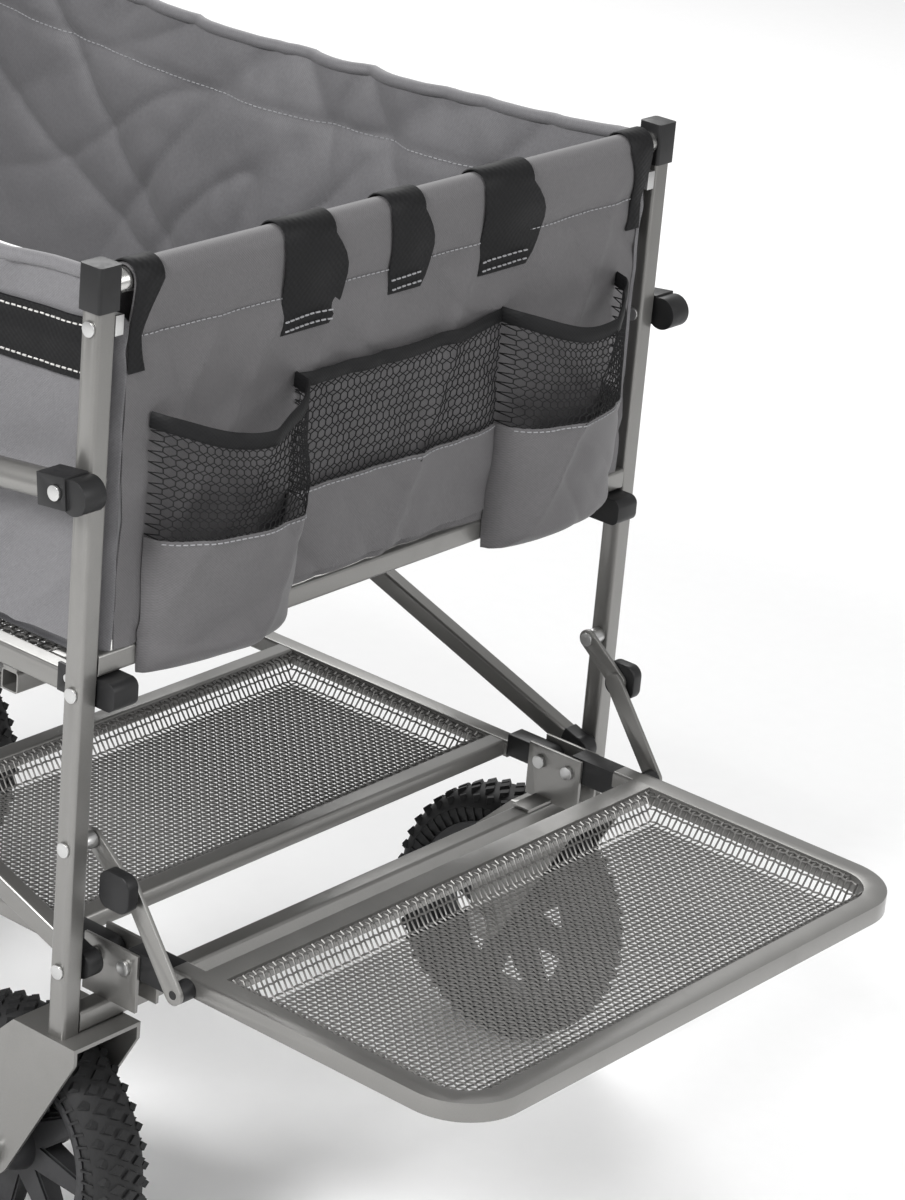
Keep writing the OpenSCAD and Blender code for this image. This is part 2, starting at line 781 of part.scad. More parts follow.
module front_brackets() color("#a5a29b") place() {
    both_sides() {
        for (y0 = [plate_in, plate_out]) difference() {
            slab(-wagon_l - tube / 2, shelf_front_x + 11, y0, y0 + plate_t,
                cross_z + tube, shelf_z + 12);
            pin_hole(shelf_front_x, shelf_z, y0 - 1, y0 + plate_t + 1, bolt_r);
        }
        // caster plate behind the cross tube
        difference() {
            slab(-wagon_l + tube / 2, kingpin_x + 26, front_wheel_y - 28, front_wheel_y + 28,
                caster_plate_z, caster_plate_z + 5);
            translate([kingpin_x, front_wheel_y, 0]) cylinder(h = cap_top_z, r = 6 + bolt_play);
        }
    }
    // ears that hold the pull handle
    for (y0 = [-ear_y - ear_t, ear_y]) difference() {
        slab(handle_x - 10, -wagon_l - tube / 2, y0, y0 + ear_t, cross_z, cross_z + tube + 5);
        pin_hole(handle_x, handle_z, -half_w, half_w, bolt_r + 1);
    }
}

module caster_fork(side) {
    place() {
        translate([kingpin_x, side * front_wheel_y, 0]) {
            fork_body(caster_trail, crown_top_z, -24, 30);
            translate([0, 0, crown_top_z]) cylinder(h = 2.6, r = 16);
            translate([0, 0, crown_top_z]) cylinder(h = 12, r = 6);
            translate([0, 0, caster_plate_z + 5.4]) cylinder(h = 5, r = 10);
            axle(caster_trail, 0);
        }
    }
}

module caster_fork_left() color("#a19d95") caster_fork(-1);
module caster_fork_right() color("#a19d95") caster_fork(1);

// ---------------------------------------------------------------- pull handle

// draws along +Z from the handle pivot, then leans towards the wagon
module handle_place() {
    place() translate([handle_x, 0, handle_z]) rotate([0, handle_lean, 0]) children();
}

grip_h = 84;
grip_t = 24;
grip_bar = 20;
button_r = 5.5;
button_z = grip_reach - grip_bar / 2;
handle_in_r = handle_r - 1.5;
inner_r = handle_in_r - 0.3;

module handle_tube() color("#a8a59e") handle_place() {
    difference() {
        union() {
            translate([0, 0, tube_start]) cylinder(h = handle_tube_l - tube_start, r = handle_r);
            pin_y(0, -ear_y + slip, ear_y - slip, 0, 10);
            cylinder(h = tube_start + 6, r = handle_r - 2);
        }
        translate([0, 0, 26]) cylinder(h = handle_tube_l, r = handle_in_r);
        pin_hole(0, 0, -half_w, half_w, bolt_r + 1 + bolt_play);
    }
}

module handle_inner_tube() color("#b9b7b2") handle_place() difference() {
    translate([0, 0, 60]) cylinder(h = grip_reach - grip_h + 6 - 60, r = inner_r);
    translate([0, 0, 59]) cylinder(h = grip_reach, r = inner_r - 1.5);
}

// closed loop grip, drawn across the wagon with the finger gap in its middle
module handle_grip() color("#242427") handle_place() difference() {
    union() {
        translate([0, 0, grip_reach - grip_h - 24]) cylinder(h = 30, r = handle_r + 3);
        translate([-grip_t / 2, 0, grip_reach - grip_h / 2]) rotate([90, 0, 90])
            linear_extrude(grip_t) difference() {
                round_rect(grip_w, grip_h, 20);
                round_rect(grip_w - 2 * grip_bar, grip_h - 2 * grip_bar, 10);
            }
    }
    translate([0, 0, grip_reach - grip_h - 25]) cylinder(h = 31, r = inner_r);
    translate([-grip_t / 2 - 1, 0, button_z]) rotate([0, 90, 0]) cylinder(h = 8, r = button_r + slip);
}

module handle_button() color("#5a5a5e") handle_place()
    translate([-grip_t / 2 - 2.5, 0, button_z]) rotate([0, 90, 0]) cylinder(h = 7, r = button_r);

// ---------------------------------------------------------------- side walls

module side_wall() {
    wall_y = post_in - 1 - cloth_t;
    slab(-wagon_l + 12, -12, wall_y, wall_y + cloth_t, panel_low_z - 1, cap_top_z - hem_drop);
}

module side_wall_right() color("#77767b") place() side_wall();
module side_wall_left() color("#77767b") place() mirror([0, 1, 0]) side_wall();

// ---------------------------------------------------------------- one line per piece
rear_posts();
rear_caps();
rear_top_rail();
rear_cross_tubes();
rear_forks();
rear_hinge_brackets();
rear_pivot_blocks();
rear_hardware();
rear_panel();
rear_pockets();
rear_tyre_left();
rear_rim_left();
rear_tyre_right();
rear_rim_right();
rear_deck_frame();
rear_deck_mesh();
rear_floor_pad();
front_deck_frame();
front_deck_mesh();
front_floor_pad();
rear_shelf_frame();
rear_shelf_mesh();
rear_shelf_ends();
front_shelf_frame();
front_shelf_mesh();
front_shelf_ends();
rear_side_rails();
rear_side_rail_ends();
front_side_rails();
front_side_rail_ends();
rear_braces();
rear_brace_ends();
front_braces();
front_brace_ends();
platform_frame();
platform_mesh();
platform_ends();
stay_upper_links();
stay_lower_links();
stay_knobs();
front_posts();
front_caps();
front_top_rail();
front_cross_tubes();
front_brackets();
front_hardware();
front_pivot_blocks();
front_panel();
caster_fork_left();
caster_fork_right();
front_tyre_left();
front_rim_left();
front_tyre_right();
front_rim_right();
handle_tube();
handle_inner_tube();
handle_grip();
handle_button();
side_wall_left();
side_wall_right();
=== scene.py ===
import json
import math

import bmesh
import bpy
import numpy as np
from mathutils import Matrix, Vector, noise


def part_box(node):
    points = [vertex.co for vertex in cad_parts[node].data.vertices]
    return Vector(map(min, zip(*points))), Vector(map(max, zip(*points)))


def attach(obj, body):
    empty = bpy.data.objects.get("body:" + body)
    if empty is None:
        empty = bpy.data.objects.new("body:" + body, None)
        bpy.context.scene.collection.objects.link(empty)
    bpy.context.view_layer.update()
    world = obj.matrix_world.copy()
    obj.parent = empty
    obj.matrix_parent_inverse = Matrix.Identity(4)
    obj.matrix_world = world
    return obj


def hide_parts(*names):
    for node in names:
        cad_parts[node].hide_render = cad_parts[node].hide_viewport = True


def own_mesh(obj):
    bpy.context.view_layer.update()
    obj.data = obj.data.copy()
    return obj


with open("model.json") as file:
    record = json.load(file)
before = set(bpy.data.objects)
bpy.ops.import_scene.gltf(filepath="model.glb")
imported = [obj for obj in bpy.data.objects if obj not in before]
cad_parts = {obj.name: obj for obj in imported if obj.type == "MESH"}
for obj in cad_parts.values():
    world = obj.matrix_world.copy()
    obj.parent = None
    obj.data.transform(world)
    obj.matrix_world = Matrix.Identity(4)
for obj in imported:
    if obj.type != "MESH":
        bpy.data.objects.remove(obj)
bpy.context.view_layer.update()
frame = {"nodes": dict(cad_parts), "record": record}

MM = 0.001
NODES = frame["nodes"]
BODY_OF = {n: b for b, names in frame["record"]["behaviour"]["bodies"].items() for n in names}
SLOT_OF = {row["node"]: row["material_slot"] for row in frame["record"]["subparts"]}

# ---------------------------------------------------------------- places, from the frame
REAR_LO, REAR_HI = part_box("rear_posts")
FRONT_LO, FRONT_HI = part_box("front_posts")
REAR_X = (REAR_LO.x + REAR_HI.x) / 2
FRONT_X = (FRONT_LO.x + FRONT_HI.x) / 2
RAIL_LO, RAIL_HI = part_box("rear_top_rail")
RAIL_R = (RAIL_HI.z - RAIL_LO.z) / 2
RAIL_Z = (RAIL_HI.z + RAIL_LO.z) / 2
PANEL_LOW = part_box("rear_panel")[0].z
PANEL_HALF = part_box("rear_panel")[1].y
POCKET_LO, POCKET_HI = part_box("rear_pockets")
WALL_LO, WALL_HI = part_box("side_wall_right")

SEAM_Z = RAIL_Z - 36 * MM      # stitched line under the top sleeve
FABRIC_T = 1.4 * MM
WEB_T = 1.8 * MM
TAB_TAIL = 58 * MM             # length of the corner tabs below the rail


# ---------------------------------------------------------------- shader groups and materials
def new_group(name, inputs, outputs):
    tree = bpy.data.node_groups.new(name, "ShaderNodeTree")
    for label, kind, value in inputs:
        socket = tree.interface.new_socket(label, in_out="INPUT", socket_type=kind)
        if value is not None:
            socket.default_value = value
    for label, kind in outputs:
        tree.interface.new_socket(label, in_out="OUTPUT", socket_type=kind)
    return tree, tree.nodes.new("NodeGroupInput"), tree.nodes.new("NodeGroupOutput")


def math_node(tree, operation, a, b=None, clamp=False):
    node = tree.nodes.new("ShaderNodeMath")
    node.operation = operation
    node.use_clamp = clamp
    for socket, value in zip(node.inputs, (a, b)):
        if value is None:
            continue
        if isinstance(value, (int, float)):
            socket.default_value = value
        else:
            tree.links.new(value, socket)
    return node.outputs[0]


def make_mottle():
    """Cloudy colour variation over fine speckle, from 0 to 1."""
    tree, ins, outs = new_group(
        "mottle",
        [("Vector", "NodeSocketVector", None), ("Cloud Scale", "NodeSocketFloat", 12.0),
         ("Speck Scale", "NodeSocketFloat", 900.0), ("Speck Share", "NodeSocketFloat", 0.5)],
        [("Mask", "NodeSocketFloat"), ("Speck", "NodeSocketFloat")],
    )
    cloud = tree.nodes.new("ShaderNodeTexNoise")
    speck = tree.nodes.new("ShaderNodeTexNoise")
    cloud.inputs["Detail"].default_value = 4.0
    speck.inputs["Detail"].default_value = 2.0
    for node, scale in ((cloud, "Cloud Scale"), (speck, "Speck Scale")):
        tree.links.new(ins.outputs["Vector"], node.inputs["Vector"])
        tree.links.new(ins.outputs[scale], node.inputs["Scale"])
    mix = tree.nodes.new("ShaderNodeMix")
    tree.links.new(ins.outputs["Speck Share"], mix.inputs["Factor"])
    tree.links.new(cloud.outputs["Fac"], mix.inputs["A"])
    tree.links.new(speck.outputs["Fac"], mix.inputs["B"])
    tree.links.new(mix.outputs["Result"], outs.inputs["Mask"])
    tree.links.new(speck.outputs["Fac"], outs.inputs["Speck"])
    return tree


def make_weave():
    """Height of a plain weave in the plane of U and V, from 0 to 1."""
    tree, ins, outs = new_group(
        "plain_weave",
        [("U", "NodeSocketFloat", 0.0), ("V", "NodeSocketFloat", 0.0),
         ("Threads per Metre", "NodeSocketFloat", 1200.0)],
        [("Height", "NodeSocketFloat")],
    )
    waves = []
    for axis in ("U", "V"):
        turned = math_node(tree, "MULTIPLY", ins.outputs[axis], ins.outputs["Threads per Metre"])
        waves.append(math_node(tree, "SINE", math_node(tree, "MULTIPLY", turned, math.pi)))
    product = math_node(tree, "MULTIPLY", waves[0], waves[1])
    height = math_node(tree, "ADD", math_node(tree, "MULTIPLY", product, 0.5), 0.5)
    tree.links.new(height, outs.inputs["Height"])
    return tree


def make_scuff():
    """Sparse worn or dusty patches, from 0 to 1."""
    tree, ins, outs = new_group(
        "scuff",
        [("Vector", "NodeSocketVector", None), ("Scale", "NodeSocketFloat", 30.0),
         ("Amount", "NodeSocketFloat", 0.3)],
        [("Mask", "NodeSocketFloat")],
    )
    patches = tree.nodes.new("ShaderNodeTexNoise")
    patches.inputs["Detail"].default_value = 6.0
    patches.inputs["Roughness"].default_value = 0.65
    tree.links.new(ins.outputs["Vector"], patches.inputs["Vector"])
    tree.links.new(ins.outputs["Scale"], patches.inputs["Scale"])
    raised = math_node(tree, "SUBTRACT", patches.outputs["Fac"], 0.52)
    steep = math_node(tree, "MULTIPLY", raised, 6.0, clamp=True)
    tree.links.new(math_node(tree, "MULTIPLY", steep, ins.outputs["Amount"]), outs.inputs["Mask"])
    return tree


MOTTLE = make_mottle()
WEAVE = make_weave()
SCUFF = make_scuff()


def use_group(tree, group, **values):
    node = tree.nodes.new("ShaderNodeGroup")
    node.node_tree = group
    for label, value in values.items():
        socket = node.inputs[label.replace("_", " ")]
        if isinstance(value, (int, float)):
            socket.default_value = value
        else:
            tree.links.new(value, socket)
    return node


def start_material(name, metallic=0.0, **fixed):
    mat = bpy.data.materials.new(name)
    mat.use_nodes = True
    tree = mat.node_tree
    shader = tree.nodes["Principled BSDF"]
    shader.inputs["Metallic"].default_value = metallic
    for label, value in fixed.items():
        shader.inputs[label.replace("_", " ")].default_value = value
    coords = tree.nodes.new("ShaderNodeTexCoord").outputs["Object"]
    return mat, tree, shader, coords


def colour_between(tree, factor, low, high):
    mix = tree.nodes.new("ShaderNodeMix")
    mix.data_type = "RGBA"
    tree.links.new(factor, mix.inputs["Factor"])
    mix.inputs["A"].default_value = (*low, 1)
    mix.inputs["B"].default_value = (*high, 1)
    return mix.outputs["Result"]


def range_of(tree, value, low, high):
    node = tree.nodes.new("ShaderNodeMapRange")
    node.inputs["To Min"].default_value = low
    node.inputs["To Max"].default_value = high
    tree.links.new(value, node.inputs["Value"])
    return node.outputs["Result"]


def bump(tree, shader, height, distance, strength=1.0):
    node = tree.nodes.new("ShaderNodeBump")
    node.inputs["Distance"].default_value = distance
    node.inputs["Strength"].default_value = strength
    tree.links.new(height, node.inputs["Height"])
    tree.links.new(node.outputs["Normal"], shader.inputs["Normal"])


def hard_finish(name, low, high, rough, metallic=0.0, speck=900.0, depth=0.02, wear=0.25, **fixed):
    """Paint, plating, plastic and rubber: mottled colour, fine grain, light scuffs."""
    mat, tree, shader, coords = start_material(name, metallic, **fixed)
    mottle = use_group(tree, MOTTLE, Vector=coords, Cloud_Scale=14.0, Speck_Scale=speck)
    scuff = use_group(tree, SCUFF, Vector=coords, Scale=38.0, Amount=wear)
    colour = colour_between(tree, mottle.outputs["Mask"], low, high)
    tree.links.new(colour, shader.inputs["Base Color"])
    roughness = math_node(tree, "ADD", scuff.outputs["Mask"],
                          range_of(tree, mottle.outputs["Mask"], rough - 0.06, rough + 0.06))
    tree.links.new(roughness, shader.inputs["Roughness"])
    bump(tree, shader, mottle.outputs["Speck"], depth * MM, 0.6)
    return mat


def cloth_finish(name, low, high, plane, threads=1100.0, depth=0.12, rough=0.62, sheen=0.12,
                 gloss=0.4):
    """Woven cloth: mottled yarns, a weave in the plane named as bump and as painted shade between the
    threads, soft sheen.
    """
    mat, tree, shader, coords = start_material(
        name, Sheen_Weight=sheen, Sheen_Roughness=0.5, Specular_IOR_Level=gloss)
    split = tree.nodes.new("ShaderNodeSeparateXYZ")
    tree.links.new(coords, split.inputs["Vector"])
    weave = use_group(tree, WEAVE, U=split.outputs[plane[0]], V=split.outputs[plane[1]],
                      Threads_per_Metre=threads)
    mottle = use_group(tree, MOTTLE, Vector=coords, Cloud_Scale=9.0, Speck_Scale=420.0,
                       Speck_Share=0.6)
    # the weave's height also goes into the colour, lighter on the thread crowns and darker between the
    # threads: painted shade of the weave
    painted_weave_shade = math_node(tree, "MULTIPLY", weave.outputs["Height"], 0.35)
    factor = math_node(tree, "ADD", painted_weave_shade, math_node(tree, "MULTIPLY", mottle.outputs["Mask"], 0.65),
                       clamp=True)
    tree.links.new(colour_between(tree, factor, low, high), shader.inputs["Base Color"])
    tree.links.new(range_of(tree, mottle.outputs["Mask"], rough - 0.05, rough + 0.08),
                   shader.inputs["Roughness"])
    bump(tree, shader, weave.outputs["Height"], depth * MM, 0.7)
    return mat


MATERIALS = {
    "frame_paint": hard_finish("frame_paint", (0.165, 0.162, 0.155), (0.24, 0.236, 0.226), 0.34,
                               metallic=0.7, speck=1600.0, wear=0.10, Coat_Weight=0.3,
                               Coat_Roughness=0.2),
    "bright_tube": hard_finish("bright_tube", (0.42, 0.415, 0.405), (0.54, 0.535, 0.52), 0.24,
                               metallic=0.95, speck=1200.0, wear=0.08),
    "black_plastic": hard_finish("black_plastic", (0.006, 0.006, 0.006), (0.016, 0.016, 0.017),
                                 0.42, speck=1500.0, depth=0.05, wear=0.15,
                                 Specular_IOR_Level=0.3),
    "steel_mesh": hard_finish("steel_mesh", (0.10, 0.098, 0.094), (0.17, 0.166, 0.16), 0.42,
                              metallic=0.7, wear=0.1),
    "zinc_fasteners": hard_finish("zinc_fasteners", (0.40, 0.40, 0.40), (0.56, 0.56, 0.55), 0.30,
                                  metallic=0.95, wear=0.15),
    "wheel_rim": hard_finish("wheel_rim", (0.014, 0.014, 0.015), (0.035, 0.035, 0.037), 0.45,
                             speck=1300.0, depth=0.05, Specular_IOR_Level=0.3),
    "tyre": hard_finish("tyre", (0.010, 0.010, 0.010), (0.026, 0.026, 0.027), 0.62, speck=700.0,
                        depth=0.08, wear=0.12, Specular_IOR_Level=0.25),
    "soft_grip": hard_finish("soft_grip", (0.014, 0.014, 0.014), (0.03, 0.03, 0.03), 0.7,
                             speck=1000.0, depth=0.08),
    "floor_fabric": cloth_finish("floor_fabric", (0.07, 0.07, 0.075), (0.15, 0.15, 0.16), "XY"),
}
PANEL_CLOTH = cloth_finish("panel_cloth", (0.052, 0.050, 0.052), (0.128, 0.124, 0.128), "YZ")
# the side walls get the same grey fabric as the end panels, painted lighter to stand in for the light on
# the inner walls: painted light
WALL_CLOTH_PAINTED_LIGHT = cloth_finish("wall_cloth", (0.075, 0.074, 0.078), (0.185, 0.182, 0.190), "XZ")
NET = hard_finish("net_cord", (0.006, 0.006, 0.006), (0.018, 0.018, 0.019), 0.75, speck=1500.0,
                  Specular_IOR_Level=0.15)
WEBBING = cloth_finish("webbing", (0.003, 0.003, 0.003), (0.012, 0.012, 0.013), "YZ",
                       threads=420.0, depth=0.25, rough=0.55, sheen=0.0, gloss=0.15)
WALL_WEBBING = cloth_finish("wall_webbing", (0.003, 0.003, 0.003), (0.012, 0.012, 0.013), "XZ",
                            threads=420.0, depth=0.25, rough=0.55, sheen=0.0, gloss=0.15)
BINDING = cloth_finish("binding", (0.004, 0.004, 0.004), (0.012, 0.012, 0.013), "YZ",
                       threads=800.0, depth=0.12, rough=0.55, sheen=0.0, gloss=0.15)
THREAD = hard_finish("light_thread", (0.42, 0.41, 0.40), (0.60, 0.59, 0.57), 0.8, speck=2000.0)
DARK_THREAD = hard_finish("grey_thread", (0.20, 0.20, 0.21), (0.32, 0.32, 0.33), 0.8, speck=2000.0)


# ---------------------------------------------------------------- mesh helpers
def finish_piece(obj, material, body, slot, replaced=(), angle=38):
    """Gives a finished mesh its material, smooth shading, body and replaced CAD nodes."""
    obj.data.materials.clear()
    obj.data.materials.append(material)
    for face in obj.data.polygons:
        face.use_smooth = True
        face.material_index = 0
    obj.data.set_sharp_from_angle(angle=math.radians(angle))
    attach(obj, body)
    if replaced:
        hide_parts(*replaced)
    return obj


def mesh_object(name, verts, faces):
    mesh = bpy.data.meshes.new(name)
    mesh.from_pydata([tuple(v) for v in verts], [], faces)
    mesh.validate()
    obj = bpy.data.objects.new(name, mesh)
    bpy.context.scene.collection.objects.link(obj)
    return obj


def face_outward(obj):
    bm = bmesh.new()
    bm.from_mesh(obj.data)
    bmesh.ops.recalc_face_normals(bm, faces=bm.faces)
    bm.to_mesh(obj.data)
    bm.free()
    return obj


def object_from_bmesh(name, bm):
    bmesh.ops.recalc_face_normals(bm, faces=bm.faces)
    mesh = bpy.data.meshes.new(name)
    bm.to_mesh(mesh)
    bm.free()
    obj = bpy.data.objects.new(name, mesh)
    bpy.context.scene.collection.objects.link(obj)
    return obj


def plain_mesh(obj):
    """Turns a mesh object's evaluated result into a plain mesh with no modifiers."""
    depsgraph = bpy.context.evaluated_depsgraph_get()
    mesh = bpy.data.meshes.new_from_object(obj.evaluated_get(depsgraph))
    obj.modifiers.clear()
    obj.data = mesh
    return obj


def refine(node, bevel):
    """A copy of a CAD node with merged faces and softly rounded edges, in its place."""
    bm = bmesh.new()
    bm.from_mesh(NODES[node].data)
    bmesh.ops.remove_doubles(bm, verts=bm.verts, dist=0.002 * MM)
    bmesh.ops.dissolve_limit(bm, angle_limit=math.radians(0.5), verts=bm.verts, edges=bm.edges)
    sharp = [e for e in bm.edges if e.is_manifold and e.calc_face_angle(0) > math.radians(40)]
    bmesh.ops.bevel(bm, geom=sharp, offset=bevel * MM, segments=2, profile=0.6,
                    affect="EDGES", clamp_overlap=True)
    obj = object_from_bmesh(node + "_finish", bm)
    slot = SLOT_OF[node]
    return finish_piece(obj, MATERIALS[slot], BODY_OF[node], slot, [node])


def sheet_mesh(name, place, columns, rows, thickness):
    """A cloth sheet: place(u, v) gives its point for u and v from 0 to 1."""
    verts = [place(i / columns, j / rows) for j in range(rows + 1) for i in range(columns + 1)]
    faces = []
    for j in range(rows):
        for i in range(columns):
            a = j * (columns + 1) + i
            faces.append((a, a + 1, a + columns + 2, a + columns + 1))
    obj = mesh_object(name, verts, faces)
    solid = obj.modifiers.new("cloth", "SOLIDIFY")
    solid.thickness = thickness
    solid.offset = 0.0
    return plain_mesh(obj)


def heading(points, k):
    """The direction of a path of points at point k."""
    return (points[min(k + 1, len(points) - 1)] - points[max(k - 1, 0)]).normalized()


def skin_faces(stations, count):
    """Faces of a closed skin over that many rings of count points each."""
    faces = []
    for k in range(stations - 1):
        for i in range(count):
            a, b = k * count + i, k * count + (i + 1) % count
            faces.append((a, b, b + count, a + count))
    faces.append(tuple(range(count))[::-1])
    last = (stations - 1) * count
    faces.append(tuple(range(last, last + count)))
    return faces


def sweep(points, section, up):
    """Vertices and faces of a closed section, drawn along a path of points."""
    verts = []
    for k, point in enumerate(points):
        ahead = heading(points, k)
        side = ahead.cross(up).normalized()
        top = side.cross(ahead).normalized()
        verts += [point + side * a + top * b for a, b in section]
    return verts, skin_faces(len(points), len(section))


def band_section(width, thick):
    """A flat band's section, with its narrow edges rounded."""
    w, t = width / 2, thick / 2
    return [(-t, -w + t), (0, -w), (t, -w + t), (t, w - t), (0, w), (-t, w - t)]


def many_sweeps(name, paths, section, up):
    verts, faces = [], []
    for path in paths:
        v, f = sweep(path, section, up)
        faces += [tuple(i + len(verts) for i in face) for face in f]
        verts += v
    return face_outward(mesh_object(name, verts, faces))


def circle_section(radius, sides):
    return [(radius * math.cos(2 * math.pi * i / sides), radius * math.sin(2 * math.pi * i / sides))
            for i in range(sides)]


def lathe_y(profile, segments, center):
    """A ring round the Y axis through center, from (radius, y) points of a closed profile."""
    bm = bmesh.new()
    rings = []
    for s in range(segments):
        turn = 2 * math.pi * s / segments
        rings.append([bm.verts.new(center + Vector((r * math.sin(turn), y, r * math.cos(turn))))
                      for r, y in profile])
    for s in range(segments):
        here, there = rings[s], rings[(s + 1) % segments]
        for i in range(len(profile)):
            k = (i + 1) % len(profile)
            bm.faces.new((here[i], here[k], there[k], there[i]))
    return bm


def wave(x, y, z, scale, seed=0.0):
    """Smooth noise from -1 to 1 that repeats exactly on every run."""
    return noise.noise(Vector((x * scale + seed, y * scale + 2 * seed, z * scale - seed)))


def crease(a, b, scale, seed):
    """Sharp-crested folds from 0 to 1, as taut thin cloth shows."""
    height = abs(wave(a, b, 0.0, scale, seed))
    return (1.0 - height * 2.2) ** 3 if height < 0.45 else 0.0


def smoothstep(t):
    t = min(1.0, max(0.0, t))
    return t * t * (3 - 2 * t)


# ---------------------------------------------------------------- geometry node trees
class Tree:
    """Short names for building a geometry node tree."""

    def __init__(self, name, inputs):
        self.tree = bpy.data.node_groups.new(name, "GeometryNodeTree")
        self.tree.is_modifier = True
        face = self.tree.interface
        face.new_socket("Geometry", in_out="INPUT", socket_type="NodeSocketGeometry")
        for label, kind, value in inputs:
            socket = face.new_socket(label, in_out="INPUT", socket_type=kind)
            if value is not None:
                socket.default_value = value
        face.new_socket("Geometry", in_out="OUTPUT", socket_type="NodeSocketGeometry")
        self.ins = self.tree.nodes.new("NodeGroupInput").outputs
        self.out = self.tree.nodes.new("NodeGroupOutput").inputs["Geometry"]

    def add(self, kind, settings=None, **values):
        node = self.tree.nodes.new(kind)
        for key, value in (settings or {}).items():
            setattr(node, key, value)
        for label, value in values.items():
            self.put(node.inputs[label.replace("_", " ")], value)
        return node

    def put(self, socket, value):
        if isinstance(value, bpy.types.NodeSocket):
            self.tree.links.new(value, socket)
        else:
            socket.default_value = value

    def calc(self, operation, a, b=0.0):
        node = self.tree.nodes.new("ShaderNodeMath")
        node.operation = operation
        self.put(node.inputs[0], a)
        self.put(node.inputs[1], b)
        return node.outputs[0]

    def end(self, geometry, material):
        real = self.add("GeometryNodeRealizeInstances", Geometry=geometry)
        done = self.add("GeometryNodeSetMaterial", Geometry=real.outputs["Geometry"], Material=material)
        self.tree.links.new(done.outputs["Geometry"], self.out)


def run_tree(obj, tree, **values):
    """Runs a tree on an object, and keeps the result as a plain mesh."""
    modifier = obj.modifiers.new(tree.name, "NODES")
    modifier.node_group = tree
    wanted = {label.replace("_", " "): value for label, value in values.items()}
    for item in tree.interface.items_tree:
        if item.item_type == "SOCKET" and item.in_out == "INPUT" and item.name in wanted:
            modifier[item.identifier] = wanted[item.name]
    obj.update_tag()
    bpy.context.view_layer.update()
    return plain_mesh(obj)


